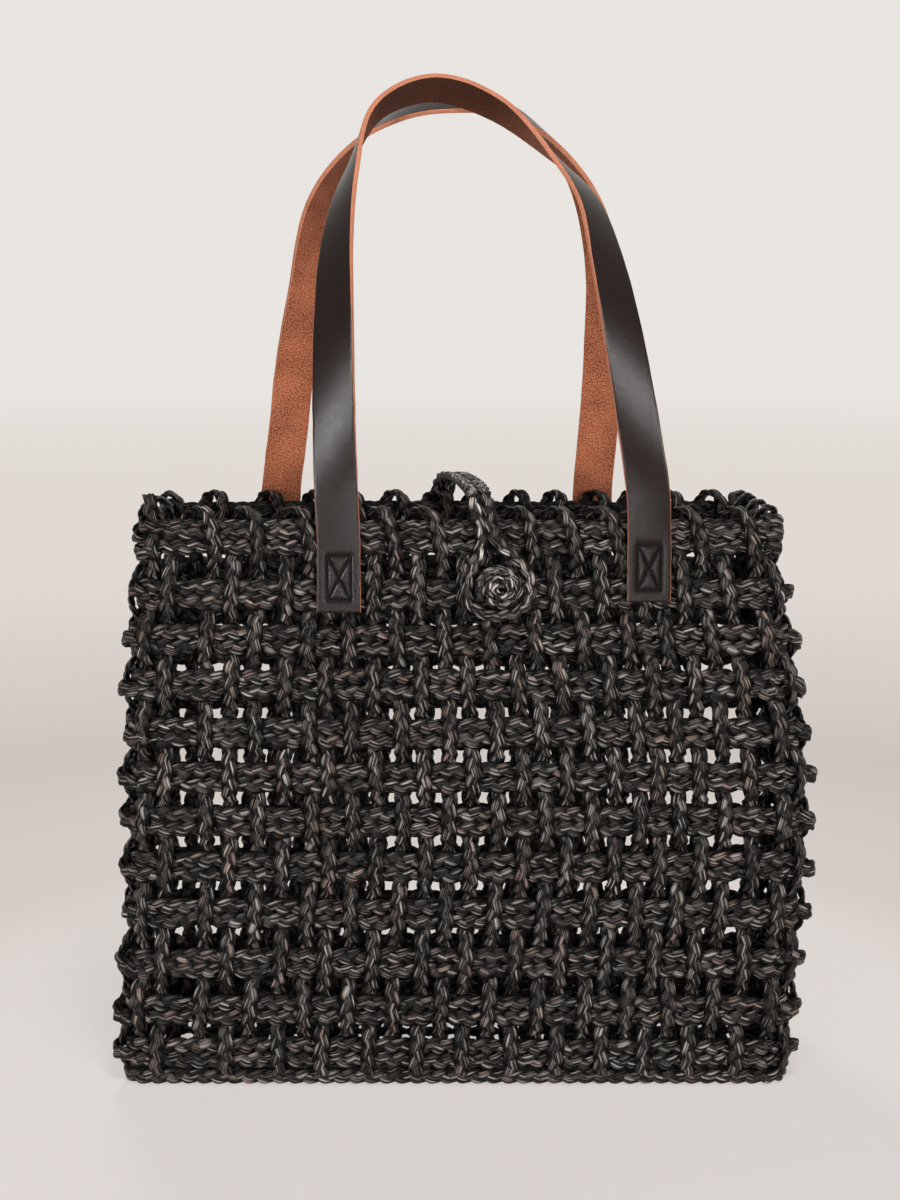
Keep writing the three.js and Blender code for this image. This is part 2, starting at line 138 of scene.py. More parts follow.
def drift(
    at: np.ndarray, draw: random.Random, spacing: float, amount: float, closed: bool = False
) -> np.ndarray:
    """Slow random wander along a line.

    Args:
        at: Distances along the line.
        draw: Source of random numbers.
        spacing: Distance between two independent values.
        amount: Largest value either way.
        closed: Whether the line meets its own start.

    Returns:
        The wander at each distance.
    """
    total = float(at[-1])
    count = max(3, round(total / spacing))
    if closed:
        return wander_round(draw, total, count, amount)(at)
    values = [draw.uniform(-amount, amount) for _ in range(count)]
    return eased(at, np.linspace(0, total, count), values)


def unit(vectors: np.ndarray) -> np.ndarray:
    """Vectors scaled to length 1."""
    return vectors / np.linalg.norm(vectors, axis=-1, keepdims=True)


def run_length(points: np.ndarray) -> np.ndarray:
    """Distance of each point from the first, along the line."""
    steps = np.linalg.norm(np.diff(points[:, :3], axis=0), axis=1)
    return np.concatenate([[0.0], np.cumsum(steps)])


def tangents(points: np.ndarray, closed: bool = False) -> np.ndarray:
    """Direction of a line at each of its points.

    Args:
        points: The line.
        closed: Whether its last point repeats the first.

    Returns:
        Rows of length 1.
    """
    if closed:
        ring = np.vstack([points[-2:-1], points, points[1:2]])
        return unit(ring[2:] - ring[:-2])
    return unit(np.gradient(points, axis=0))


def square_to(vectors: np.ndarray, axes: np.ndarray) -> np.ndarray:
    """What is left of each vector at right angles to its axis, scaled to length 1."""
    return unit(vectors - np.sum(vectors * axes, axis=1, keepdims=True) * axes)


def ring_points(
    centre: np.ndarray, wide: np.ndarray, deep: np.ndarray, reach: np.ndarray, rise: np.ndarray
) -> np.ndarray:
    """Rings of points round a line.

    Args:
        centre: The line.
        wide: First direction of the ring at each station.
        deep: Second direction of the ring at each station.
        reach: How far each point lies along the first direction.
        rise: How far each point lies along the second direction.

    Returns:
        The points, by station and place in the ring.
    """
    return centre[:, None] + reach[..., None] * wide[:, None] + rise[..., None] * deep[:, None]


@dataclass
class Route:
    """A strand's centre line, with the outward direction of its flat face at each station."""

    points: np.ndarray
    faces: np.ndarray
    closed: bool = False

    @property
    def along(self) -> np.ndarray:
        """Distance of each station from the first."""
        return run_length(self.points)

    def frames(self) -> tuple[np.ndarray, np.ndarray]:
        """The two directions of the strand's section.

        Returns:
            The face direction and the widthwise direction at each station.
        """
        tangent = tangents(self.points, self.closed)
        face = square_to(self.faces, tangent)
        return face, np.cross(tangent, face)


def resample(line: np.ndarray, step: float) -> Route:
    """Evenly spaced stations on a line.

    Args:
        line: Rows of a point and its face direction.
        step: Distance between stations.

    Returns:
        The route.
    """
    distance = run_length(line)
    count = max(3, round(distance[-1] / step) + 1)
    even = np.linspace(0, distance[-1], count)
    columns = np.stack([np.interp(even, distance, line[:, i]) for i in range(6)], axis=1)
    return Route(columns[:, :3], unit(columns[:, 3:]))


def smooth_route(knots: Sequence[Sequence[float]], step: float, samples: int = 8) -> Route:
    """A smooth strand that rounds off each corner of a zigzag.

    Args:
        knots: Rows of a corner point and its face direction.
        step: Distance between stations.
        samples: Points on each bend before the stations are spaced.

    Returns:
        The route, which starts and ends on the first and last corner.
    """
    corner = np.asarray(knots, float)
    middle = (corner[1:] + corner[:-1]) / 2
    t = np.linspace(0, 1, samples, endpoint=False)[None, :, None]
    start, bend, end = middle[:-1, None], corner[1:-1, None], middle[1:, None]
    curve = (1 - t) ** 2 * start + 2 * t * (1 - t) * bend + t**2 * end
    line = np.vstack([corner[:1], curve.reshape(-1, 6), middle[-1:], corner[-1:]])
    return resample(line, step)


def through_points(points: Sequence[Sequence[float]], samples: int = 12) -> np.ndarray:
    """A centripetal curve through each of a few points.

    Args:
        points: The points, of any dimension.
        samples: Points on each stretch.

    Returns:
        Rows of points on the curve.
    """
    given = np.asarray(points, float)
    padded = np.vstack([2 * given[0] - given[1], given, 2 * given[-1] - given[-2]])
    t = np.linspace(0, 1, samples, endpoint=False)[:, None]
    rows = []
    for a, b, c, d in zip(padded, padded[1:], padded[2:], padded[3:]):
        before, here, after = (math.sqrt(np.linalg.norm(q - p)) for p, q in ((a, b), (b, c), (c, d)))
        leave = ((b - a) / before - (c - a) / (before + here) + (c - b) / here) * here
        arrive = ((c - b) / here - (d - b) / (here + after) + (d - c) / after) * here
        square = -3 * b + 3 * c - 2 * leave - arrive
        cube = 2 * b - 2 * c + leave + arrive
        rows.append(b + leave * t + square * t**2 + cube * t**3)
    return np.vstack([*rows, given[-1:]])


# Tubes and their meshes


@dataclass
class Tube:
    """One skin of a mesh: a ring of points at each station."""

    rings: np.ndarray
    along: np.ndarray
    closed: bool = False
    start: float = 0.0
    around: np.ndarray | None = None
    # Crest level of each point, which sets the painted highlight and painted shade of the grass.
    crest: np.ndarray | None = None

    def centre(self, station: int) -> np.ndarray:
        """Middle of a ring."""
        return self.rings[station].mean(axis=0)

    def part(self, first: int, last: int) -> Tube:
        """The stretch between two stations, both included, of an open tube that carries the crest level
        for painted light.

        Args:
            first: Its first station.
            last: Its last station.

        Returns:
            The stretch, with its map where it was.
        """
        kept = slice(first, last + 1)
        along = self.along[kept]
        start = self.start + along[0]
        return Tube(self.rings[kept], along - along[0], start=start, crest=self.crest[kept])


def read_map(mesh: bpy.types.Mesh) -> np.ndarray:
    """Reads a mesh's map.

    Args:
        mesh: The mesh.

    Returns:
        A row for each corner of its faces.
    """
    uv = np.empty(len(mesh.loops) * 2, np.float32)
    mesh.uv_layers[0].uv.foreach_get("vector", uv)
    return uv.reshape(-1, 2)


@dataclass
class TubeMesh:
    """Builds one mesh from tubes: a grid for each, wrapped round its rings, closed and merged."""

    name: str
    tubes: Sequence[Tube]
    merge_distance: float = 2e-6

    def build(self) -> bpy.types.Object:
        """Makes the object, smooth and with its faces pointing out.

        Returns:
            The object, at the origin.
        """
        mesh = self._grids()
        self._wrap(mesh)
        self._close(mesh)
        mesh.polygons.foreach_set("use_smooth", [True] * len(mesh.polygons))
        mesh.update()
        return add_object(self.name, mesh)

    def _grids(self) -> bpy.types.Mesh:
        """Makes a flat grid for each tube, one above the other.

        Returns:
            The mesh of all the grids.
        """
        work = bmesh.new()
        work.loops.layers.uv.new("UVMap")
        for level, tube in enumerate(self.tubes):
            stations, sides = tube.rings.shape[:2]
            bmesh.ops.create_grid(
                work,
                x_segments=sides,
                y_segments=stations - 1,
                size=1.0,
                matrix=Matrix.Translation((0, 0, level)),
                calc_uvs=True,
            )
        mesh = bpy.data.meshes.new(self.name)
        work.to_mesh(mesh)
        work.free()
        return mesh

    def _wrap(self, mesh: bpy.types.Mesh) -> None:
        """Moves each grid point to its ring, and turns its flat map into lengths in metres.

        Args:
            mesh: The mesh of the flat grids.
        """
        flat = np.empty(len(mesh.vertices) * 3, np.float32)
        mesh.vertices.foreach_get("co", flat)
        flat = flat.reshape(-1, 3)
        level = np.rint(flat[:, 2]).astype(int)
        placed = np.empty_like(flat)
        # Crest level for the painted light of the grass; 1 for tubes that have none.
        crest = np.ones(len(flat), np.float32)
        for index, tube in enumerate(self.tubes):
            mine = level == index
            stations, sides = tube.rings.shape[:2]
            column = np.rint((flat[mine, 0] + 1) / 2 * sides).astype(int) % sides
            row = np.rint((flat[mine, 1] + 1) / 2 * (stations - 1)).astype(int)
            if tube.closed:
                row %= stations - 1
            placed[mine] = tube.rings[row, column] * MM
            if tube.crest is not None:
                crest[mine] = tube.crest[row, column]
        mesh.vertices.foreach_set("co", placed.ravel())
        mesh.attributes.new("crest", "FLOAT", "POINT").data.foreach_set("value", crest)
        self._spread_map(mesh, level)

    def _spread_map(self, mesh: bpy.types.Mesh, level: np.ndarray) -> None:
        """Sets the map: round the tube across, and metres along it.

        Args:
            mesh: The mesh of the grids.
            level: Which tube each point belongs to.
        """
        uv = read_map(mesh)
        corner = np.empty(len(mesh.loops), np.int32)
        mesh.loops.foreach_get("vertex_index", corner)
        owner = level[corner]
        for index, tube in enumerate(self.tubes):
            mine = owner == index
            even = np.linspace(0, 1, len(tube.along))
            uv[mine, 1] = (np.interp(uv[mine, 1], even, tube.along) + tube.start) * MM
            if tube.around is not None:
                columns = np.linspace(0, 1, len(tube.around))
                uv[mine, 0] = np.interp(uv[mine, 0], columns, tube.around) * MM
        mesh.uv_layers[0].uv.foreach_set("vector", uv.ravel())

    def _close(self, mesh: bpy.types.Mesh) -> None:
        """Merges the seams, caps the open ends and turns the faces out.

        Args:
            mesh: The wrapped mesh.
        """
        work = bmesh.new()
        work.from_mesh(mesh)
        bmesh.ops.remove_doubles(work, verts=work.verts, dist=self.merge_distance)
        rims = [edge for edge in work.edges if edge.is_boundary]
        if rims:
            bmesh.ops.holes_fill(work, edges=rims, sides=0)
        bmesh.ops.recalc_face_normals(work, faces=work.faces)
        work.to_mesh(mesh)
        work.free()


@dataclass(frozen=True)
class Strand:
    """A flat grass braid of three plies.

    A ply swings from edge to edge once in a period and rises over the others twice. Its section
    is a flat oval with slight ridges, and it folds over at the edges.
    """

    width: float = 9.8
    thickness: float = 4.3
    period: float = 29.0
    ply_count: int = 3
    sides: int = 8
    step: float = 1.5
    ply_share: float = 0.61
    depth_share: float = 0.44
    edge_divisor: float = 18.0
    lift_share: float = 0.95
    fold: float = 0.12
    ridge: float = 0.07
    flatness: float = 0.75
    # Share of the crest level on the strand's inner face; a lower share paints the faces that look into
    # the bag in shade.
    inner_light: float = 0.6
    unevenness: float = 0.05
    map_reach: float = 30000.0

    def plies(
        self, route: Route, draw: random.Random, swell: np.ndarray | float = 1.0
    ) -> list[Tube]:
        """Lays the plies along a route.

        Args:
            route: Centre line of the strand.
            draw: Source of random numbers.
            swell: How much wider than its usual width the strand is, at each station.

        Returns:
            One tube for each ply.
        """
        along = route.along
        total = along[-1]
        periods = total / self.period
        if route.closed:
            periods = round(periods)
        turn = draw.uniform(0, TURN) + TURN * periods * along / total
        swell = np.broadcast_to(swell, along.shape)
        shifts = [TURN * ply / self.ply_count for ply in range(self.ply_count)]
        return [self._ply(route, turn + shift, swell, draw) for shift in shifts]

    def _ply(
        self, route: Route, turn: np.ndarray, swell: np.ndarray, draw: random.Random
    ) -> Tube:
        """Lays one ply.

        Args:
            route: Centre line of the strand.
            turn: How far the ply has come in its period at each station, in radians.
            swell: How much wider than its usual width the strand is, at each station.
            draw: Source of random numbers.

        Returns:
            The ply. Its crest level, which sets the painted highlight and shade of the grass, is 1 on
            the strand's outer face and 0 in its middle.
        """
        along = route.along
        face, across = route.frames()
        fat = 1 + drift(along, draw, self.period / 2, self.unevenness, route.closed)
        half_width = self.width * self.ply_share / 2 * fat
        half_thickness = self.thickness * self.depth_share / 2 * fat
        swing = np.sin(turn) - np.sin(3 * turn) / self.edge_divisor
        aside = self.width / 2 * (1 - self.ply_share) * swing
        lift = self.thickness / 2 * (1 - self.depth_share) * self.lift_share * np.sin(2 * turn)
        tilt = self.fold * np.sin(3 * turn)
        centre = route.points + (aside * swell)[:, None] * across + lift[:, None] * face
        lead = tangents(centre, route.closed)
        wide = square_to(across, lead)
        deep = np.cross(wide, lead)
        cos, sin = np.cos(tilt)[:, None], np.sin(tilt)[:, None]
        wide, deep = cos * wide + sin * deep, cos * deep - sin * wide
        angle = np.linspace(0, TURN, self.sides, endpoint=False)
        ribs = 1 + self.ridge * np.where(np.arange(self.sides) % 2, -1.0, 1.0)
        reach = (half_width * swell)[:, None] * np.cos(angle)
        level = np.sign(np.sin(angle)) * np.abs(np.sin(angle)) ** self.flatness
        rings = ring_points(centre, wide, deep, reach, half_thickness[:, None] * level * ribs)
        if route.closed:
            rings[-1] = rings[0]
        # Crest level for painted light: the grass is painted lighter on top of each ply and darker in
        # the hollows between plies, and darker on the faces that look into the bag.
        above = np.sum((rings - route.points[:, None]) * face[:, None], axis=2)
        crest = np.maximum(above, -self.inner_light * above) / (self.thickness / 2)
        start = draw.uniform(0, self.map_reach)
        return Tube(rings, along, route.closed, start, crest=np.clip(crest, 0, 1))


OFF_AXIS = np.array([0.31, 0.87, 0.38])


def round_tube(
    points: np.ndarray, radii: np.ndarray | float, sides: int, start: float = 0.0
) -> Tube:
    """A plain round tube along a line.

    Args:
        points: Centre line.
        radii: Radius at each station.
        sides: Corners of its section.
        start: Where its lengthwise map starts.

    Returns:
        The tube.
    """
    lead = tangents(points)
    wide = unit(np.cross(lead, OFF_AXIS))
    deep = np.cross(lead, wide)
    angle = np.linspace(0, TURN, sides, endpoint=False)
    radius = np.broadcast_to(radii, len(points))[:, None]
    rings = ring_points(points, wide, deep, radius * np.cos(angle), radius * np.sin(angle))
    return Tube(rings, run_length(points), start=start)


# Node trees


@dataclass
class NodeBench:
    """Adds nodes to a tree and links them."""

    tree: bpy.types.NodeTree

    def add(
        self, kind: str, settings: dict[str, object] | None = None, **inputs: object
    ) -> bpy.types.Node:
        """Adds a node.

        Args:
            kind: Its type name.
            settings: Attributes to set.
            inputs: Values or output sockets by input name, with _ for a space.

        Returns:
            The node.
        """
        node = self.tree.nodes.new(kind)
        for key, value in (settings or {}).items():
            setattr(node, key, value)
        self.feed_all(node, inputs)
        return node

    def feed(self, socket: bpy.types.NodeSocket, value: object) -> None:
        """Links an output to a socket, or sets the socket's value.

        Args:
            socket: The input.
            value: An output socket, or a value.
        """
        if isinstance(value, bpy.types.NodeSocket):
            self.tree.links.new(value, socket)
        else:
            socket.default_value = value

    def feed_all(self, node: bpy.types.Node, inputs: dict[str, object]) -> None:
        """Feeds a node's inputs by name, with _ for a space."""
        for key, value in inputs.items():
            self.feed(node.inputs[key.replace("_", " ")], value)

    def shade(self, **inputs: object) -> None:
        """Feeds the material's shader by input name, with _ for a space."""
        self.feed_all(self.tree.nodes["Principled BSDF"], inputs)

    def place(self, kind: str = "UV") -> bpy.types.NodeSocket:
        """Where a point lies, on the map or in the object."""
        return self.add("ShaderNodeTexCoord").outputs[kind]

    def axis(self, vector: object, name: str) -> bpy.types.NodeSocket:
        """One part of a vector."""
        return self.add("ShaderNodeSeparateXYZ", Vector=vector).outputs[name]

    def scaled(self, vector: object, share: object) -> bpy.types.NodeSocket:
        """A vector or colour times a number."""
        settings = {"operation": "SCALE"}
        return self.add("ShaderNodeVectorMath", settings, Vector=vector, Scale=share).outputs[0]

    def bump(self, height: object, strength: float, distance: float) -> bpy.types.NodeSocket:
        """Direction of the surface over a relief."""
        settings = {"Height": height, "Strength": strength, "Distance": distance}
        return self.add("ShaderNodeBump", **settings).outputs["Normal"]

    def math(
        self, operation: str, first: object, second: object = 0.0, third: object = 0.0
    ) -> bpy.types.NodeSocket:
        """Adds a maths node.

        Args:
            operation: What it does.
            first: Its first value.
            second: Its second value.
            third: Its third value.

        Returns:
            Its result.
        """
        node = self.add("ShaderNodeMath", {"operation": operation})
        for socket, value in zip(node.inputs, (first, second, third)):
            self.feed(socket, value)
        return node.outputs[0]

    def span(
        self, value: object, low: float, high: float, to_low: float = 0.0, to_high: float = 1.0
    ) -> bpy.types.NodeSocket:
        """Maps a value smoothly from one span to another.

        Args:
            value: What is mapped.
            low: Where the first span starts.
            high: Where the first span ends.
            to_low: Result at its start.
            to_high: Result at its end.

        Returns:
            The mapped value.
        """
        node = self.add("ShaderNodeMapRange", {"interpolation_type": "SMOOTHSTEP"}, Value=value)
        ends = {"From Min": low, "From Max": high, "To Min": to_low, "To Max": to_high}
        self.feed_all(node, ends)
        return node.outputs["Result"]

    def mix(self, share: object, first: object, second: object) -> bpy.types.NodeSocket:
        """Mixes two colours.

        Args:
            share: Share of the second one.
            first: The first colour.
            second: The second colour.

        Returns:
            The mixed colour.
        """
        node = self.add("ShaderNodeMix", {"data_type": "RGBA"})
        for index, value in ((0, share), (6, first), (7, second)):
            self.feed(node.inputs[index], value)
        return node.outputs[2]

    def noise(
        self, vector: object, scale: float, detail: float = 2.0, roughness: float = 0.5
    ) -> bpy.types.NodeSocket:
        """Strength of a noise texture."""
        settings = {"Vector": vector, "Scale": scale, "Detail": detail, "Roughness": roughness}
        return self.add("ShaderNodeTexNoise", **settings).outputs["Fac"]

    def ramp(
        self, share: object, stops: Sequence[tuple[float, Sequence[float]]], shade: float = 1.0
    ) -> bpy.types.NodeSocket:
        """Adds a colour ramp.

        Args:
            share: Where on the ramp the colour is read.
            stops: The places of its colours, with each colour.
            shade: How much lighter than given every colour is.

        Returns:
            The colour.
        """
        node = self.add("ShaderNodeValToRGB", Fac=share)
        elements = node.color_ramp.elements
        while len(elements) < len(stops):
            elements.new(0.5)
        for element, (place, colour) in zip(elements, stops):
            element.position = place
            element.color = (*(part * shade for part in colour), 1.0)
        return node.outputs["Color"]

    def blend(self, share: object, first: object, second: object, end: bpy.types.Node) -> None:
        """Mixes two shaders into the tree's output.

        Args:
            share: Share of the second one.
            first: Output of the first shader.
            second: Output of the second shader.
            end: The output node.
        """
        node = self.add("ShaderNodeMixShader", Fac=share)
        self.feed(node.inputs[1], first)
        self.feed(node.inputs[2], second)
        self.feed(end.inputs["Surface"], node.outputs[0])


def tone(*channels: int) -> Colour:
    """A screen colour, three numbers of 0 to 255, as the linear values a material takes."""
    shares = (channel / 255 for channel in channels)
    return tuple(s / 12.92 if s <= 0.04045 else ((s + 0.055) / 1.055) ** 2.4 for s in shares)


def open_material(name: str) -> tuple[bpy.types.Material, NodeBench]:
    """Starts a material.

    Args:
        name: Name of the material.

    Returns:
        The material and its bench.
    """
    material = bpy.data.materials.new(name)
    material.use_nodes = True
    return material, NodeBench(material.node_tree)


def open_group(
    name: str, inputs: dict[str, str], outputs: Sequence[str]
) -> tuple[NodeBench, dict[str, bpy.types.NodeSocket], bpy.types.Node]:
    """Starts a shader node group.

    Args:
        name: Name of the group.
        inputs: Socket types by name.
        outputs: Names of the numbers it gives.

    Returns:
        Its bench, its input sockets by name, and its output node.
    """
    tree = bpy.data.node_groups.new(name, "ShaderNodeTree")
    given = {"INPUT": inputs, "OUTPUT": dict.fromkeys(outputs, NUMBER)}
    for direction, sockets in given.items():
        for label, kind in sockets.items():
            tree.interface.new_socket(name=label, in_out=direction, socket_type=kind)
    bench = NodeBench(tree)
    entry = bench.add("NodeGroupInput")
    return bench, {label: entry.outputs[label] for label in inputs}, bench.add("NodeGroupOutput")


class Surfaces:
    """The node groups that several finishes share."""

    def __init__(self) -> None:
        """Builds each group once."""
        self.fibres = self._fibres()
        self.hide = self._hide()

    def _fibres(self) -> bpy.types.NodeTree:
        """Makes streaks of plant fibre that run along a strand and wind slowly round it.

        Returns:
            The group.
        """
        bench, given, out = open_group(
            "fibre_streaks",
            {"Map": VECTOR, "Fibre Count": NUMBER, "Streak Length": NUMBER, "Wind": NUMBER},
            ("Fibre", "Bundle", "Patch", "Relief"),
        )
        across, along = bench.axis(given["Map"], "X"), bench.axis(given["Map"], "Y")
        winding = bench.math("MULTIPLY", along, given["Wind"])
        turn = bench.math("MULTIPLY_ADD", across, TURN, winding)
        cos, sin = bench.math("COSINE", turn), bench.math("SINE", turn)
        run = bench.math("DIVIDE", along, given["Streak Length"])

        def streak(share: float, pace: float, detail: float) -> bpy.types.NodeSocket:
            """Makes streaks of one size.

            Args:
                share: Their number round the strand, as a share of the fibre count.
                pace: How much shorter than the streak length they are.
                detail: Detail of the noise.

            Returns:
                Their strength.
            """
            radius = bench.math("MULTIPLY", given["Fibre Count"], share / TURN)
            place = bench.add(
                "ShaderNodeCombineXYZ",
                X=bench.math("MULTIPLY", cos, radius),
                Y=bench.math("MULTIPLY", sin, radius),
                Z=bench.math("MULTIPLY", run, pace),
            )
            return bench.noise(place.outputs[0], scale=1.0, detail=detail, roughness=0.55)

        fibre = streak(share=1.0, pace=1.0, detail=1.0)
        bundle = streak(share=0.2, pace=1.1, detail=0.0)
        patch = streak(share=0.08, pace=0.4, detail=1.0)
        relief = bench.math("MULTIPLY_ADD", fibre, 0.45, bench.math("MULTIPLY", bundle, 0.8))
        bench.feed_all(out, {"Fibre": fibre, "Bundle": bundle, "Patch": patch, "Relief": relief})
        return bench.tree

    def _hide(self) -> bpy.types.NodeTree:
        """Makes the pores, fine grain and cloudy wear of leather.

        Returns:
            The group.
        """
        bench, given, out = open_group(
            "hide_grain",
            {"Map": VECTOR, "Pore Size": NUMBER, "Stretch": NUMBER},
            ("Pores", "Grain", "Cloud"),
        )
        place = bench.add("ShaderNodeVectorMath", {"operation": "MULTIPLY"})
        bench.feed(place.inputs[0], given["Map"])
        stretch = bench.add("ShaderNodeCombineXYZ", X=1.0, Y=given["Stretch"], Z=1.0)
        bench.feed(place.inputs[1], stretch.outputs[0])
        fine = bench.scaled(place.outputs[0], bench.math("DIVIDE", 1.0, given["Pore Size"]))
        settings = {"feature": "DISTANCE_TO_EDGE"}
        cells = bench.add("ShaderNodeTexVoronoi", settings, Vector=fine, Scale=1.0)
        made = {
            "Pores": bench.span(cells.outputs["Distance"], 0.0, 0.35),
            "Grain": bench.noise(fine, scale=2.2, detail=4.0, roughness=0.65),
            "Cloud": bench.noise(given["Map"], scale=45.0, detail=3.0, roughness=0.55),
        }
        bench.feed_all(out, made)
        return bench.tree


# Grey grass tones. The brightest stops are partly the grass's own pale fibres and partly painted glints
# along the fibres.
GREY_AND_PAINTED_GLINT_STOPS = (
    (0.36, (0.0008, 0.0006, 0.0005)),
    (0.45, (0.0036, 0.0030, 0.0027)),
    (0.52, (0.0170, 0.0144, 0.0129)),
    (0.60, (0.078, 0.070, 0.063)),
    (0.68, (0.250, 0.232, 0.216)),
)
BROWN_STOPS = (
    (0.38, (0.0020, 0.0011, 0.0009)),
    (0.50, (0.014, 0.0065, 0.0048)),
    (0.62, (0.180, 0.082, 0.056)),
)


@dataclass(frozen=True)
class GrassFinish:
    """Dyed grass: near-black plies with pale and red-brown fibres along the strand, the pale streaks
    partly painted glints, with a painted highlight on the crests of the plies and painted shade in
    their hollows.
    """

    name: str = "dyed_grass"
    fibre_count: float = 66.0
    streak_length: float = 0.038
    wind: float = 9.0
    fibre_share: float = 0.45
    bundle_share: float = 0.55
    shade: float = 1.0
    ruddy_share: float = 0.4
    relief: float = 0.0009
    bump_strength: float = 0.9
    roughness: Span = (0.34, 0.2)
    shine: float = 0.12
    # Painted shade in the hollows between plies and painted highlight on their crests: the crest levels
    # where each sets in, and how strong each is.
    painted_shade_at: float = 0.1
    crest_at: float = 1.0
    painted_hollow_shade: float = 0.07
    crest: float = 1.8

    def make(self, surfaces: Surfaces) -> bpy.types.Material:
        """Builds the material.

        Args:
            surfaces: The shared node groups.

        Returns:
            The material.
        """
        material, bench = open_material(self.name)
        grass = bench.add(
            "ShaderNodeGroup",
            {"node_tree": surfaces.fibres},
            Map=bench.place(),
            Fibre_Count=self.fibre_count,
            Streak_Length=self.streak_length,
            Wind=self.wind,
        )
        fibre, bundle, patch = (grass.outputs[label] for label in ("Fibre", "Bundle", "Patch"))
        coarse = bench.math("MULTIPLY", bundle, self.bundle_share)
        body = bench.math("MULTIPLY_ADD", fibre, self.fibre_share, coarse)
        grey, brown = bench.ramp(body, GREY_AND_PAINTED_GLINT_STOPS, self.shade), bench.ramp(body, BROWN_STOPS)
        ruddy = bench.math(
            "MULTIPLY", bench.span(patch, 0.48, 0.66), bench.span(bundle, 0.44, 0.62)
        )
        colour = bench.mix(bench.math("MULTIPLY", ruddy, self.ruddy_share), grey, brown)
        # Painted highlight and shade: the colour is scaled by the crest level, lighter on top of each
        # ply and darker in the hollows.
        crest = bench.add("ShaderNodeAttribute", {"attribute_name": "crest"}).outputs["Fac"]
        lit = bench.span(crest, self.painted_shade_at, self.crest_at, self.painted_hollow_shade, self.crest)
        bench.shade(
            Base_Color=bench.scaled(colour, lit),
            Roughness=bench.span(body, 0.4, 0.62, *self.roughness),
            Normal=bench.bump(grass.outputs["Relief"], self.bump_strength, self.relief),
            Specular_IOR_Level=self.shine,
        )
        return material


class LeatherFace(Enum):
    """The faces of a cut strap, in the order of its material slots."""

    GRAIN = 0
    EDGE = 1
    FLESH = 2


@dataclass(frozen=True)
class LeatherFinish:
    """One face of a cut leather strap, and painted shade on it near the top of the handles."""

    face: LeatherFace
    dark: Colour
    light: Colour
    pore_size: float
    roughness: Span
    relief: float
    stretch: float = 1.0
    fuzz: float = 0.0
    shine: float = 0.4
    cloud_share: float = 0.2
    bump_strength: float = 0.7
    # Painted shade near the top of the handles, on the underside of the arch: how strong it is, the
    # heights over which it sets in, and its colour.
    painted_shade_share: float = 0.0
    painted_shade_from: float = 0.54
    painted_shade_to: float = 0.583
    painted_shade_colour: Colour = (0.0260, 0.0062, 0.0020)

    def make(self, surfaces: Surfaces) -> bpy.types.Material:
        """Builds the material.

        Args:
            surfaces: The shared node groups.

        Returns:
            The material.
        """
        material, bench = open_material(f"leather_{self.face.name.lower()}")
        hide = bench.add(
            "ShaderNodeGroup",
            {"node_tree": surfaces.hide},
            Map=bench.place(),
            Pore_Size=self.pore_size,
            Stretch=self.stretch,
        )
        pores, grain, cloud = (hide.outputs[label] for label in ("Pores", "Grain", "Cloud"))
        wear = bench.math("MULTIPLY", bench.span(cloud, 0.3, 0.7), self.cloud_share)
        fine = bench.span(grain, 0.33, 0.67)
        share = bench.math("MULTIPLY_ADD", fine, 1 - self.cloud_share, wear)
        colour = bench.mix(share, (*self.dark, 1.0), (*self.light, 1.0))
        # Painted shade: above a given height the face is darkened, where the underside of the handle's
        # arch is in shade.
        if self.painted_shade_share:
            height = bench.axis(bench.place("Object"), "Z")
            painted_shade_mask = bench.span(height, self.painted_shade_from, self.painted_shade_to, 0.0, self.painted_shade_share)
            colour = bench.mix(painted_shade_mask, colour, (*self.painted_shade_colour, 1.0))
        rough = bench.math("MULTIPLY_ADD", pores, 0.6, bench.math("MULTIPLY", grain, 0.6))
        bench.shade(
            Base_Color=colour,
            Roughness=bench.span(cloud, 0.3, 0.7, *self.roughness),
            Normal=bench.bump(rough, self.bump_strength, self.relief),
            Sheen_Weight=self.fuzz,
            Specular_IOR_Level=self.shine,
        )
        return material


@dataclass(frozen=True)
class ThreadFinish:
    """Black waxed thread with the twist of its yarns, painted darker in the grooves between them as
    shade.
    """

    name: str = "waxed_thread"
    pitch: float = 0.0011
    dark: Colour = (0.0008, 0.0007, 0.0007)
    light: Colour = (0.0040, 0.0034, 0.0034)
    roughness: Span = (0.6, 0.42)
    relief: float = 0.0002
    bump_strength: float = 0.6
    shine: float = 0.15

    def make(self) -> bpy.types.Material:
        """Builds the material.

        Returns:
            The material.
        """
        material, bench = open_material(self.name)
        around, along = (bench.axis(bench.place(), name) for name in ("X", "Y"))
        rise = bench.math("DIVIDE", along, self.pitch)
        turn = bench.math("MULTIPLY", bench.math("ADD", around, rise), TURN)
        ridge = bench.math("ABSOLUTE", bench.math("SINE", turn))
        # Painted shade: the colour is darker in the grooves between the yarns and lighter on their
        # ridges.
        bench.shade(
            Base_Color=bench.mix(ridge, (*self.dark, 1), (*self.light, 1)),
            Roughness=bench.span(ridge, 0.0, 1.0, *self.roughness),
            Normal=bench.bump(ridge, self.bump_strength, self.relief),
            Specular_IOR_Level=self.shine,
        )
        return material


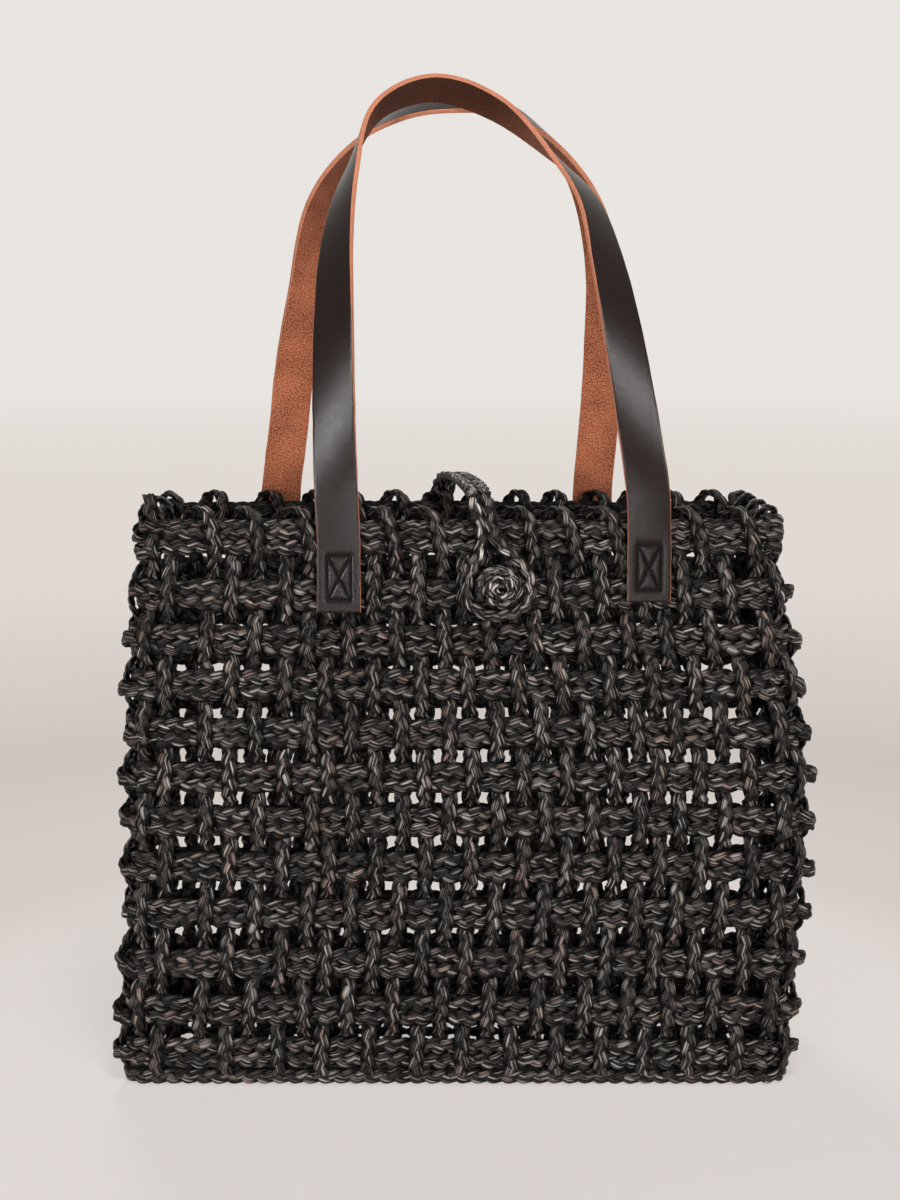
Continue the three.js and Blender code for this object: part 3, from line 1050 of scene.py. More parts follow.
class Finishes:
    """Every finish of the bag, built once."""

    grain = LeatherFinish(
        LeatherFace.GRAIN,
        dark=(0.0062, 0.0024, 0.0016),
        light=(0.0130, 0.0056, 0.0038),
        pore_size=0.0012,
        roughness=(0.25, 0.28),
        relief=0.00005,
        shine=0.2,
    )
    edge = LeatherFinish(
        LeatherFace.EDGE,
        dark=tone(150, 80, 52),
        light=tone(226, 152, 118),
        pore_size=0.0004,
        roughness=(0.7, 0.85),
        relief=0.00025,
        stretch=0.3,
    )
    flesh = LeatherFinish(
        LeatherFace.FLESH,
        dark=tone(48, 18, 9),
        light=tone(208, 126, 90),
        pore_size=0.0021,
        roughness=(0.85, 0.95),
        relief=0.0005,
        fuzz=0.05,
        shine=0.12,
        # Painted shade on the flesh face near the top of the handles.
        painted_shade_share=0.85,
    )

    def __init__(self) -> None:
        """Builds the materials."""
        surfaces = Surfaces()
        closure = GrassFinish("closure_grass", fibre_count=56.0, shade=1.9)
        stray = GrassFinish("stray_grass", fibre_count=6.0, relief=0.0001)
        self.grass = GrassFinish().make(surfaces)
        self.closure_grass = closure.make(surfaces)
        self.stray_grass = stray.make(surfaces)
        self.leather = [face.make(surfaces) for face in (self.grain, self.edge, self.flesh)]
        self.thread = ThreadFinish().make()


# The bag's plan


@dataclass(frozen=True)
class Outline:
    """The middle of the wall at one height, from the right end of the front wall round the bag."""

    points: np.ndarray
    normals: np.ndarray
    distance: np.ndarray

    @property
    def total(self) -> float:
        """Length of the outline."""
        return float(self.distance[-1])

    def at(self, places: np.ndarray) -> tuple[np.ndarray, np.ndarray]:
        """Points and outward directions at distances along the outline.

        Args:
            places: The distances, of any size.

        Returns:
            Rows of x, y and rows of outward x, y.
        """
        inside = np.mod(places, self.total)
        point, normal = (
            np.stack([np.interp(inside, self.distance, rows[:, i]) for i in (0, 1)], axis=-1)
            for rows in (self.points, self.normals)
        )
        return point, unit(normal)

    def near(self, x: float, y: float) -> float:
        """Finds the place nearest to a point.

        Args:
            x: Place of the point along X.
            y: Place of the point along Y.

        Returns:
            The distance along the outline, to a quarter of a millimetre.
        """
        places = np.arange(0, self.total, 0.25)
        points, _ = self.at(places)
        return float(places[np.argmin(np.hypot(points[:, 0] - x, points[:, 1] - y))])


@dataclass(frozen=True)
class Plan:
    """Sizes of the woven body, as on its solids but for the rim braid, which lies lower.

    The rows settle and the upright braids crowd together by small amounts along their run, and the
    slack body sways to the side at three heights.
    """

    half_width: float = 198.0
    half_depth: float = 52.0
    widest_z: float = 150.0
    rim_narrowing: float = 15.5
    foot_narrowing: float = 2.5
    corner_radius: float = 12.0
    corner_steps: int = 12
    top_row_z: float = 325.0
    top_row_gap: float = 32.0
    foot_row_z: float = 19.2
    row_count: int = 12
    row_height: float = 18.0
    row_settling: tuple[float, ...] = (0.0, 0.0, 0.4, 1.3, 0.3, 1.1, 2.4, 2.9, 2.2, 0.0, -0.9, -0.2)
    rim_braid_z: float = 333.6
    warp_count: int = 26
    warp_pitch: float = 13.8
    warp_shift: float = 11.8
    first_gap: float = 10.0
    crowding_at: tuple[float, ...] = (0, 2, 5, 6, 9, 12, 15, 19, 21, 23, 24, 25)
    crowding: tuple[float, ...] = (-5.6, -5.4, 0.4, -2.2, -1.9, -0.7, 0.0, -0.6, -4.3, -5.7, -3.8, 0.8)
    sway_at: tuple[float, ...] = (0.0, 156.0, 335.0)
    sway: tuple[float, ...] = (-4.6, 2.2, -3.7)
    side_count: int = 4
    side_pitch: float = 20.0
    floor_z: float = 6.35
    floor_plateau: float = 5.4

    def half_width_at(self, z: float) -> float:
        """Half the width of the bag at a height.

        Args:
            z: The height.

        Returns:
            The half width, which falls off above and below the widest place.
        """
        up = max(min(z, self.top_row_z) - self.widest_z, 0) / (self.top_row_z - self.widest_z)
        down = max(self.widest_z - z, 0) / self.widest_z
        return self.half_width - self.rim_narrowing * up**2 - self.foot_narrowing * down**2

    def spread_at(self, z: float) -> float:
        """Share of the widest width at a height."""
        return self.half_width_at(z) / self.half_width

    def row_z(self, row: int) -> float:
        """Height of the middle of a row.

        Args:
            row: Its number, where row 1 is at the rim.

        Returns:
            The height.
        """
        if row == 1:
            return self.top_row_z
        pitch = (self.top_row_z - self.top_row_gap - self.foot_row_z) / (self.row_count - 2)
        return self.foot_row_z + (self.row_count - row) * pitch + self.row_settling[row - 1]

    def centre_x(self, z: float) -> float:
        """How far the slack body leans aside at a height."""
        return float(eased(np.array([z]), self.sway_at, self.sway)[0])

    def warp_x(self, index: int, z: float) -> float:
        """Place of an upright braid.

        Args:
            index: Its number from the left, from 0.
            z: The height.

        Returns:
            Its place along X.
        """
        place = self.warp_shift + (index - (self.warp_count - 1) / 2) * self.warp_pitch
        if index == 0:
            place -= self.first_gap
        place += float(eased(np.array([float(index)]), self.crowding_at, self.crowding)[0])
        return place * self.spread_at(z) + self.centre_x(z)

    def side_y(self, index: int) -> float:
        """Place of a side strand."""
        return (index - (self.side_count - 1) / 2) * self.side_pitch

    def wall_depth_at(self, x: float, z: float) -> float:
        """Distance of a long wall from the middle plane.

        Args:
            x: Place along X.
            z: The height.

        Returns:
            The distance, which shrinks round the corners.
        """
        along = abs(x - self.centre_x(z)) - (self.half_width_at(z) - self.corner_radius)
        if along <= 0:
            return self.half_depth
        reach = min(along, self.corner_radius * 0.98)
        return self.half_depth - self.corner_radius + math.sqrt(self.corner_radius**2 - reach**2)

    @lru_cache(maxsize=256)
    def outline(self, z: float) -> Outline:
        """The middle of the wall at a height.

        Args:
            z: The height.

        Returns:
            The outline.
        """
        radius = self.corner_radius
        centre = self.centre_x(z)
        reach_x, reach_y = self.half_width_at(z) - radius, self.half_depth - radius
        points, normals = [], []
        for quarter, (sx, sy) in enumerate(((1, -1), (1, 1), (-1, 1), (-1, -1))):
            for step in range(self.corner_steps + 1):
                angle = (quarter - 1 + step / self.corner_steps) * TURN / 4
                out = np.array([math.cos(angle), math.sin(angle)])
                points.append(np.array([centre + sx * reach_x, sy * reach_y]) + radius * out)
                normals.append(out)
        line, faces = np.array([*points, points[0]]), np.array([*normals, normals[0]])
        return Outline(line, faces, run_length(line))

    def warp_is_outside(self, index: int, crossing: int) -> bool:
        """Whether a braid lies outside a crossing, counted from the front rim to the back rim."""
        return (index + crossing) % 2 == 0

    def warp_outside_row(self, index: int, wall: Wall, row: int) -> bool:
        """Whether a braid lies outside a row.

        Args:
            index: Number of the braid.
            wall: The long wall.
            row: Number of the row.

        Returns:
            True where it lies outside.
        """
        if wall is Wall.FRONT:
            return self.warp_is_outside(index, row)
        return self.warp_is_outside(index, 2 * self.row_count + self.side_count + 1 - row)

    def side_outside_row(self, index: int, side: Side, row: int) -> bool:
        """Whether a side strand lies outside a row on one of the narrow walls."""
        return (row + index) % 2 == (1 if side is Side.LEFT else 0)


@dataclass(frozen=True)
class CornerPlace:
    """A corner of the bag, where extra strands fill in between the last warp and side strand."""

    name: str
    wall: Wall
    side: Side

    def ends(self, plan: Plan, z: float) -> tuple[float, float]:
        """Finds the strands either side of the corner.

        Args:
            plan: The bag's plan.
            z: The height.

        Returns:
            Distances along the outline of the last upright braid and the first side strand.
        """
        outline = plan.outline(z)
        x = plan.warp_x(self._last_warp(plan), z)
        at_warp = outline.near(x, self.wall.value * plan.wall_depth_at(x, z))
        strand = 0 if self.wall is Wall.FRONT else plan.side_count - 1
        edge = plan.centre_x(z) + self.side.value * plan.half_width_at(z)
        at_side = outline.near(edge, plan.side_y(strand))
        half = outline.total / 2
        if at_side - at_warp > half:
            at_warp += outline.total
        elif at_warp - at_side > half:
            at_side += outline.total
        return at_warp, at_side

    def _last_warp(self, plan: Plan) -> int:
        """Number of the upright braid next to this corner."""
        return plan.warp_count - 1 if self.side is Side.RIGHT else 0

    def strand_outside(self, plan: Plan, strand: int, row: int) -> bool:
        """Whether a corner strand, counted from 1, lies outside a row."""
        warp_outside = plan.warp_outside_row(self._last_warp(plan), self.wall, row)
        return warp_outside == (strand % 2 == 0)

    def strand_place(self, plan: Plan, strand: int, z: float) -> float:
        """Place of a corner strand.

        Args:
            plan: The bag's plan.
            strand: Its number from the upright braid on, from 1.
            z: The height.

        Returns:
            Its distance along the outline.
        """
        at_warp, at_side = self.ends(plan, z)
        return at_warp + (at_side - at_warp) * strand / (CORNER_STRANDS + 1)


CORNERS = tuple(
    CornerPlace(f"{wall.name}_{side.name}".lower(), wall, side) for wall in Wall for side in Side
)
CORNER_STRANDS = 2


# The weave


@dataclass
class Weave:
    """The woven body: level pairs, rim braid, upright braids, side strands and corner strands.

    A wander or tilt round a hoop is given as a number of independent values and their largest
    size, and a foot braid as its height and how far it is set in.
    """

    plan: Plan
    finishes: Finishes
    strand: Strand = Strand()
    seed: int = 11
    pair_gap: float = 4.05
    pair_squeeze: float = 0.4
    weft_sway: float = 0.8
    weft_swell: float = 0.09
    weft_tilt: tuple[int, float] = (8, 0.8)
    pair_wander: tuple[int, float] = (26, 0.35)
    weave_offset: float = 4.0
    wander: float = 0.9
    wander_memory: float = 0.7
    rim_wander: tuple[int, float] = (30, 0.5)
    rim_strand: Strand = Strand(width=6.6, thickness=4.2, period=24.0)
    loop_top: float = 342.5
    loop_swell: float = -0.24
    loop_half_span: float = 3.2
    loop_lean: Span = (6.0, 8.5)
    tail_z: float = 318.0
    tail_set_in: float = 4.2
    shoulder_z: float = 335.0
    stub_z: float = 334.0
    low_floor: float = 3.75
    high_floor: float = 4.0
    foot_turn: float = 6.0
    # The second foot braid, set in, stands in for shade: a dark braid in the gap behind the bottom row.
    foot_braids: tuple[Span, ...] = ((5.2, -0.6), (9.0, 6.0))
    foot_wander: tuple[int, float] = (24, 0.6)
    foot_strand: Strand = Strand(width=9.0, thickness=5.0, period=27.0)
    side_lean: float = 2.5
    side_wander: float = 0.8
    cut_stub_z: float = 352.5
    cut_stub_drop: float = 1.5
    lacing_lean: float = 1.5
    lacing_foot: Span = (9.0, 20.0)
    lacing_foot_z: float = 4.4
    top_knots: tuple[float, ...] = (-7.0, 2.0, 8.0)
    knot_shift: float = 3.0
    knot_reach: Span = (5.0, 6.5)
    knot_pitch: float = 8.0
    knot_gap: float = 0.4
    knot_corners: int = 9
    knot_step: float = 2.0
    knot_strand: Strand = Strand(width=9.2, thickness=5.8, period=25.0, unevenness=0.2)
    tubes: list[Tube] = field(default_factory=list)

    def build(self) -> None:
        """Makes every strand of the body."""
        for row in range(1, self.plan.row_count + 1):
            self._add(f"weft_row_{row:02d}", self._weft(row))
        self._add("rim_braid", self._rim_braid())
        self._add("foot_braid", self._foot_braid(), carried=False)
        for index in range(self.plan.warp_count):
            self._add(f"warp_{index + 1:02d}", self._warp(index))
        for index in range(self.plan.side_count):
            self._add(f"side_strand_{index + 1}", self._side_strand(index))
        for corner in CORNERS:
            self._add(f"corner_lacing_{corner.name}", self._lacing(corner), carried=False)
            self._add(f"corner_knots_{corner.name}", self._knots(corner), carried=False)

    def _add(self, name: str, tubes: list[Tube], carried: bool = True) -> None:
        """Makes one piece.

        Args:
            name: Name of the piece, and of the solid that it replaces.
            tubes: Its plies.
            carried: Whether there is such a solid.
        """
        piece = TubeMesh(f"{name}_plies" if carried else name, tubes).build()
        piece.data.materials.append(self.finishes.grass)
        if carried:
            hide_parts(name)
        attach(piece, "root")
        self.tubes.extend(tubes)
        LOG.info("%s: %d plies, %d faces", piece.name, len(tubes), len(piece.data.polygons))

    def _draw(self, *keys: object) -> random.Random:
        """A source of random numbers of its own for each strand."""
        return random.Random(f"{self.seed} {keys}")

    def _crossings(self, row: int) -> tuple[list[float], list[float]]:
        """Finds where upright strands cross a row.

        Args:
            row: Number of the row.

        Returns:
            Their places on the outline, and 1 for each outside or -1 for each inside.
        """
        plan = self.plan
        z = plan.row_z(row)
        outline = plan.outline(z)
        places, signs = [], []
        for wall in Wall:
            for index in range(plan.warp_count):
                x = plan.warp_x(index, z)
                places.append(outline.near(x, wall.value * plan.wall_depth_at(x, z)))
                signs.append(1.0 if plan.warp_outside_row(index, wall, row) else -1.0)
        for side in Side:
            for index in range(plan.side_count):
                edge = plan.centre_x(z) + side.value * plan.half_width_at(z)
                places.append(outline.near(edge, plan.side_y(index)))
                signs.append(1.0 if plan.side_outside_row(index, side, row) else -1.0)
        for corner in CORNERS:
            for strand in range(1, CORNER_STRANDS + 1):
                places.append(corner.strand_place(plan, strand, z) % outline.total)
                signs.append(1.0 if corner.strand_outside(plan, strand, row) else -1.0)
        return places, signs

    def _hoop(self, z: float, rise: Reading, sway: Reading) -> Route:
        """A closed level route.

        Args:
            z: Height whose outline it follows.
            rise: Height over z at distances along the outline.
            sway: Distance out from the outline.

        Returns:
            The route, whose last station repeats the first.
        """
        outline = self.plan.outline(z)
        count = round(outline.total / self.strand.step)
        places = np.linspace(0, outline.total, count + 1)
        point, normal = outline.at(places)
        point = point + normal * sway(places)[:, None]
        points = np.column_stack([point, z + rise(places)])
        points[-1] = points[0]
        return Route(points, np.column_stack([normal, np.zeros(len(normal))]), closed=True)

    def _weft(self, row: int) -> list[Tube]:
        """Lays the pair of braids of one row.

        Args:
            row: Number of the row.

        Returns:
            Their plies.
        """
        z = self.plan.row_z(row)
        total = self.plan.outline(z).total
        places, signs = self._crossings(row)
        tilt = wander_round(self._draw("level", row), total, *self.weft_tilt)
        tubes = []
        for half in (1, -1):
            draw = self._draw("weft", row, half)
            wander = wander_round(draw, total, *self.pair_wander)

            def rise(at: np.ndarray, half: int = half, wander: Reading = wander) -> np.ndarray:
                """Height of the braid over the middle of the row."""
                apart = self.pair_gap - self.pair_squeeze * eased(at, places, signs, total)
                return tilt(at) + half * (apart + wander(at))

            def sway(at: np.ndarray) -> np.ndarray:
                """Distance out, away from the strand that crosses."""
                return -self.weft_sway * eased(at, places, signs, total)

            route = self._hoop(z, rise, sway)
            reach = np.linspace(0, total, len(route.points))
            swell = 1 - self.weft_swell * eased(reach, places, signs, total)
            tubes += self.strand.plies(route, draw, swell)
        return tubes

    def _rim_braid(self) -> list[Tube]:
        """Lays the single braid on the top row.

        Returns:
            Its plies.
        """
        draw, z = self._draw("rim"), self.plan.rim_braid_z
        wander = wander_round(draw, self.plan.outline(z).total, *self.rim_wander)
        return self.rim_strand.plies(self._hoop(z, wander, wander), draw)

    def _foot_braid(self) -> list[Tube]:
        """Lays the braid under the bottom row, on which it stands, and a second braid set in just
        inside it, a dark braid put where the gap behind the bottom row is in shade.

        Returns:
            Their plies.
        """
        tubes = []
        for z, set_in in self.foot_braids:
            draw = self._draw("foot", z)
            wander = wander_round(draw, self.plan.outline(z).total, *self.foot_wander)
            route = self._hoop(z, lambda at: 0.5 * wander(at), lambda at: wander(at) - set_in)
            tubes += self.foot_strand.plies(route, draw)
        return tubes

    def _wall_knots(
        self,
        span_at: Callable[[int], float],
        is_outside: Callable[[int], bool],
        lean: float,
        looped: bool = True,
    ) -> list[Knot]:
        """Finds the corner points of an upright strand on one wall, from the rim down.

        Args:
            span_at: Distance out of the middle of the wall at a row.
            is_outside: Whether the strand lies outside a row.
            lean: Sideways lean of its rim loop.
            looped: Whether an outer end turns over the rim.

        Returns:
            Rows of distance out, height, sideways lean, and the face direction out and up.
        """
        plan = self.plan
        offset = self.weave_offset
        top = span_at(1)
        knots = []
        if is_outside(1) and looped:
            tail = top - offset - self.tail_set_in
            near, far = top - self.loop_half_span, top + self.loop_half_span
            knots += [
                (tail, self.tail_z, 2.0 * lean, -1.0, 0.0),
                (tail, self.shoulder_z, 2.0 * lean, -1.0, 0.0),
                (near, self.loop_top, 1.75 * lean, -0.3, 1.0),
                (far, self.loop_top, 0.75 * lean, 0.3, 1.0),
                (top + offset, self.shoulder_z, 0.3 * lean, 1.0, 0.0),
            ]
        else:
            out = offset if is_outside(1) else -offset
            knots.append((top + out, self.stub_z, 0.0, 1.0, 0.0))
        for row in range(1, plan.row_count + 1):
            out = span_at(row) + (offset if is_outside(row) else -offset)
            share = -0.2 * lean if row == 1 and is_outside(1) else 0.0
            if row > 1:
                knots.append((out, plan.row_z(row) + plan.row_height / 2, 0.0, 1.0, 0.0))
            knots.append((out, plan.row_z(row) - plan.row_height / 2, share, 1.0, 0.0))
        return knots

    def _foot(self, knots: list[Knot]) -> list[Knot]:
        """Adds the slant from a wall to the bottom.

        Args:
            knots: Corner points on the wall, from the rim down.

        Returns:
            The same points, and the one where the slant meets the bottom.
        """
        out, z = knots[-1][:2]
        cut = z - self.plan.floor_z
        return [*knots, (out - cut, self.plan.floor_z, 0.0, 0.7, -0.7)]

    def _warp(self, index: int) -> list[Tube]:
        """Lays an upright braid: down the front, under the bottom and up the back.

        Args:
            index: Its number from the left, from 0.

        Returns:
            Its plies.
        """
        plan = self.plan
        draw = self._draw("warp", index)
        walls = {}
        for wall in Wall:

            def span_at(row: int) -> float:
                """Distance of the wall at a row."""
                z = plan.row_z(row)
                return plan.wall_depth_at(plan.warp_x(index, z), z)

            def outside(row: int, wall: Wall = wall) -> bool:
                """Whether the braid lies outside a row."""
                return plan.warp_outside_row(index, wall, row)

            knots = self._wall_knots(span_at, outside, wall.value * draw.uniform(*self.loop_lean))
            if outside(plan.row_count):
                run = (plan.half_depth - self.foot_turn, plan.floor_z, 0.0, 0.0, -1.0)
                knots = [*self._foot(knots), run]
            walls[wall] = knots
        rows = [(lean, -out, z, 0.0, -fo, fu) for out, z, lean, fo, fu in walls[Wall.FRONT]]
        for strand in range(plan.side_count):
            below = plan.warp_is_outside(index, plan.row_count + 1 + strand)
            z = plan.floor_z + (-self.low_floor if below else self.high_floor)
            for end in (-plan.floor_plateau, plan.floor_plateau):
                rows.append((0.0, plan.side_y(strand) + end, z, 0.0, 0.0, -1.0))
        rows += [(lean, out, z, 0.0, fo, fu) for out, z, lean, fo, fu in reversed(walls[Wall.BACK])]
        wander = 0.0
        knots = []
        for lean, y, z, *face in rows:
            wander = self.wander_memory * wander + draw.uniform(-1, 1) * self.wander
            knots.append((plan.warp_x(index, z) + lean + wander, y, z, *face))
        route = smooth_route(knots, self.strand.step)
        over = (route.points[:, 2] - plan.top_row_z) / plan.row_height
        return self.strand.plies(route, draw, 1 + self.loop_swell * np.clip(over, 0, 1))

    def _side_strand(self, index: int) -> list[Tube]:
        """Lays a braid down one narrow side, along the bottom and up the other.

        Args:
            index: Its number from the front, from 0.

        Returns:
            Its plies.
        """
        plan = self.plan
        draw = self._draw("side", index)
        ends = {}
        for side in Side:

            def span_at(row: int) -> float:
                """Distance of the wall at a row."""
                return plan.half_width_at(plan.row_z(row))

            def outside(row: int, side: Side = side) -> bool:
                """Whether the braid lies outside a row."""
                return plan.side_outside_row(index, side, row)

            lean = draw.uniform(-self.side_lean, self.side_lean)
            knots = self._foot(self._wall_knots(span_at, outside, lean))
            ends[side] = [
                (plan.centre_x(z) + side.value * out, z, lean, side.value * fo, fu)
                for out, z, lean, fo, fu in knots
            ]
        base = plan.side_y(index)
        knots = []
        for x, z, lean, face_out, face_up in [*ends[Side.LEFT], *reversed(ends[Side.RIGHT])]:
            y = base + lean + draw.uniform(-self.side_wander, self.side_wander)
            knots.append((x, y, z, face_out, 0.0, face_up))
        return self.strand.plies(smooth_route(knots, self.strand.step), draw)

    def _lacing(self, corner: CornerPlace) -> list[Tube]:
        """Lays the upright strands that bind the level pairs together at a corner.

        Args:
            corner: The corner. At the front left one the strands end as cut stubs.

        Returns:
            Their plies.
        """
        plan = self.plan
        tubes = []
        looped = (corner.wall, corner.side) != (Wall.FRONT, Side.LEFT)
        for strand in range(1, CORNER_STRANDS + 1):
            draw = self._draw("lacing", corner.name, strand)

            def outside(row: int, strand: int = strand) -> bool:
                """Whether the strand lies outside a row."""
                return corner.strand_outside(plan, strand, row)

            lean = draw.uniform(-self.lacing_lean, self.lacing_lean)
            rows = self._wall_knots(lambda row: 0.0, outside, lean, looped)
            if not looped:
                top = self.cut_stub_z - self.cut_stub_drop * strand
                rows.insert(0, (rows[0][0], top, 0.0, 1.0, 0.0))
            slant, end = self.lacing_foot
            rows.append((-slant, self.lacing_foot_z, 0.0, 0.5, -0.8))
            rows.append((-end, self.lacing_foot_z, 0.0, 0.0, -1.0))
            knots = []
            for out, z, lean, face_out, face_up in rows:
                near = round(max(min(z, plan.top_row_z), plan.foot_row_z), 1)
                place = corner.strand_place(plan, strand, near) + lean + draw.uniform(-1, 1)
                point, normal = plan.outline(near).at(np.array([place]))
                x, y = point[0] + normal[0] * out
                knots.append((x, y, z, *(normal[0] * face_out), face_up))
            tubes += self.strand.plies(smooth_route(knots, self.strand.step), draw)
        return tubes

    def _knots(self, corner: CornerPlace) -> list[Tube]:
        """Lays the lumps at a corner, where the level braids are turned back and knotted.

        Args:
            corner: The corner.

        Returns:
            The plies of all its knots.
        """
        plan = self.plan
        draw = self._draw("knots", corner.name)
        shift, rows = self.knot_shift, range(2, plan.row_count + 1)
        middles = [(row, plan.row_z(row) + draw.uniform(-shift, shift)) for row in rows]
        middles += [(1, plan.top_row_z + up) for up in self.top_knots]
        tubes = []
        for row, z in middles:
            at_warp, at_side = corner.ends(plan, plan.row_z(row))
            place = at_warp + (at_side - at_warp) * draw.uniform(0.35, 0.65)
            point, normal = plan.outline(plan.row_z(row)).at(np.array([place]))
            reach = draw.uniform(*self.knot_reach)
            slope, roll = draw.uniform(-0.5, 0.5), draw.uniform(0, TURN)
            long, wide = normal[0], np.array([-normal[0][1], normal[0][0]])
            knots = []
            for step in np.linspace(self.knot_gap, TURN - self.knot_gap, self.knot_corners):
                swing = math.cos(step)
                away = long * (1.5 - swing * reach)
                x, y = point[0] + away + wide * math.sin(step) * reach * 0.95
                rise = slope * reach * math.sin(step + roll) + (step / TURN - 0.5) * self.knot_pitch
                face = -long * swing + wide * math.sin(step)
                knots.append((x, y, z + rise, *face, 0.3 * draw.uniform(-1, 1)))
            tubes += self.knot_strand.plies(smooth_route(knots, self.knot_step), draw)
        return tubes


# Leather handles


StitchLine = tuple[tuple[int, int], tuple[int, int], int]


@dataclass
class Handle:
    """A strap handle: its two sewn ends and the free strap between them, in one length of leather.

    The route gives the place and the rise over the hinge of points on the free strap. The ripple
    of its edges is a spacing and a largest size. Each stitch line has its two corners of the box,
    as signs, and its number of stitches, and the last one lies over the others.
    """

    name: str
    wall: Wall
    route: tuple[Span, ...]
    finishes: Finishes
    left_end: float = 40.0
    right_end: float = 34.0
    width: float = 25.0
    thickness: float = 3.0
    corner: float = 0.55
    crown: float = 0.35
    strap_plane: float = 60.45
    hinge_z: float = 324.0
    hinge_gap: float = 0.3
    run_in: float = 28.0
    apex_lean: float = 46.5
    leg_twist: float = 45.0
    apex_twist: float = 75.0
    apex_sharpness: float = 6.0
    ripple: Span = (9.0, 0.16)
    face_columns: int = 24
    edge_columns: int = 2
    fine_step: float = 1.1
    coarse_step: float = 3.5
    stitch_width: float = 13.5
    stitch_height: float = 26.0
    stitch_up: float = 7.0
    stitch_lines: tuple[StitchLine, ...] = (
        ((-1, -1), (-1, 1), 4),
        ((1, -1), (1, 1), 4),
        ((-1, -1), (1, -1), 2),
        ((-1, 1), (1, 1), 2),
        ((-1, -1), (1, 1), 4),
        ((1, -1), (-1, 1), 4),
    )
    stitch_shape: tuple[Span, ...] = (
        (0.0, -0.9), (0.03, -0.1), (0.14, 0.75), (0.5, 1.0), (0.86, 0.75), (0.97, -0.1), (1.0, -0.9)
    )
    stitch_rise: float = 0.35
    crossed_rise: float = 0.95
    stitch_slip: float = 0.18
    dent_depth: float = 0.4
    dent_width: float = 1.1
    thread: float = 1.45
    bend_low: float = 318.0
    bend_high: float = 338.0

    def build(self) -> None:
        """Makes the strap and the stitching of its two ends."""
        self._strap()
        for end in Side:
            self._stitches(end)

    @property
    def side(self) -> int:
        """Direction of this handle's wall along Y."""
        return self.wall.value

    def end_x(self, end: Side) -> float:
        """Place of a sewn end."""
        return self.route[0 if end is Side.LEFT else -1][0]

    def end_bottom(self, end: Side) -> float:
        """Height of the lower edge of a sewn end."""
        length = self.left_end if end is Side.LEFT else self.right_end
        return self.hinge_z - self.hinge_gap - length

    def _stations(self) -> tuple[np.ndarray, np.ndarray]:
        """Finds the course of the whole strap.

        Returns:
            Its centre line, and its twist in radians at each station.
        """
        base = self.hinge_z + self.hinge_gap
        arch = through_points([(x, 0.0, base + up) for x, up in self.route])
        distance = run_length(arch)
        even = np.linspace(0, distance[-1], round(distance[-1] / self.coarse_step) + 1)
        arch = np.column_stack([np.interp(even, distance, arch[:, i]) for i in range(3)])
        share = np.clip((even - self.run_in) / (distance[-1] - 2 * self.run_in), 0, 1)
        turn = np.sin(np.pi * share)
        crown = turn**self.apex_sharpness
        arch[:, 1] = self.side * (self.strap_plane - self.apex_lean * crown)
        twist = np.radians(self.leg_twist * turn + self.apex_twist * crown)
        parts = [self._leg(Side.LEFT, base), arch[1:-1], self._leg(Side.RIGHT, base)[::-1]]
        still = [np.zeros(len(parts[0])), twist[1:-1], np.zeros(len(parts[2]))]
        line, bend = np.vstack(parts), np.concatenate(still)
        if self.wall is Wall.BACK:
            return line[::-1], bend[::-1]
        return line, bend

    def _leg(self, end: Side, top: float) -> np.ndarray:
        """Finds the centre line of a sewn end.

        Args:
            end: Which end.
            top: Height at which it stops.

        Returns:
            The line, from its lower edge up.
        """
        bottom = self.end_bottom(end)
        heights = np.linspace(bottom, top, round((top - bottom) / self.fine_step) + 1)
        x = np.full_like(heights, self.end_x(end))
        return np.column_stack([x, np.full_like(heights, self.side * self.strap_plane), heights])

    def _section(self) -> tuple[np.ndarray, np.ndarray, list[LeatherFace]]:
        """Finds the strap's section.

        Returns:
            Places across, places through, and the face of each stretch between them.
        """
        half_width, half_thickness = self.width / 2, self.thickness / 2
        end, rise = half_width - self.corner, half_thickness - self.corner
        flat = np.linspace(-end, end, self.face_columns + 1)
        points, faces = [], []

        def walk(xs: np.ndarray, zs: np.ndarray, kinds: Sequence[LeatherFace]) -> None:
            """Adds a stretch without its last point."""
            points.extend(zip(xs[:-1], zs[:-1]))
            faces.extend(kinds)

        def corner(sx: int, sz: int, start: float, kinds: Sequence[LeatherFace]) -> None:
            """Adds a rounded corner.

            Args:
                sx: Its side across.
                sz: Its side through.
                start: Angle at which it starts, from where it turns clockwise.
                kinds: The face of each of its stretches.
            """
            angle = start - np.linspace(0, TURN / 4, len(kinds) + 1)
            bend = self.corner * np.array([np.cos(angle), np.sin(angle)])
            walk(sx * end + bend[0], sz * rise + bend[1], kinds)

        grain, edge, flesh = LeatherFace
        straight = np.linspace(rise, -rise, self.edge_columns + 1)
        sides = [edge] * self.edge_columns
        walk(flat, np.full_like(flat, half_thickness), [grain] * self.face_columns)
        corner(1, 1, TURN / 4, (grain, edge, edge))
        walk(np.full_like(straight, half_width), straight, sides)
        corner(1, -1, 0.0, (edge, edge, flesh))
        walk(flat[::-1], np.full_like(flat, -half_thickness), [flesh] * self.face_columns)
        corner(-1, -1, -TURN / 4, (flesh, edge, edge))
        walk(np.full_like(straight, -half_width), straight[::-1], sides)
        corner(-1, 1, TURN / 2, (edge, edge, grain))
        across, through = np.array(points).T
        return across, through, faces

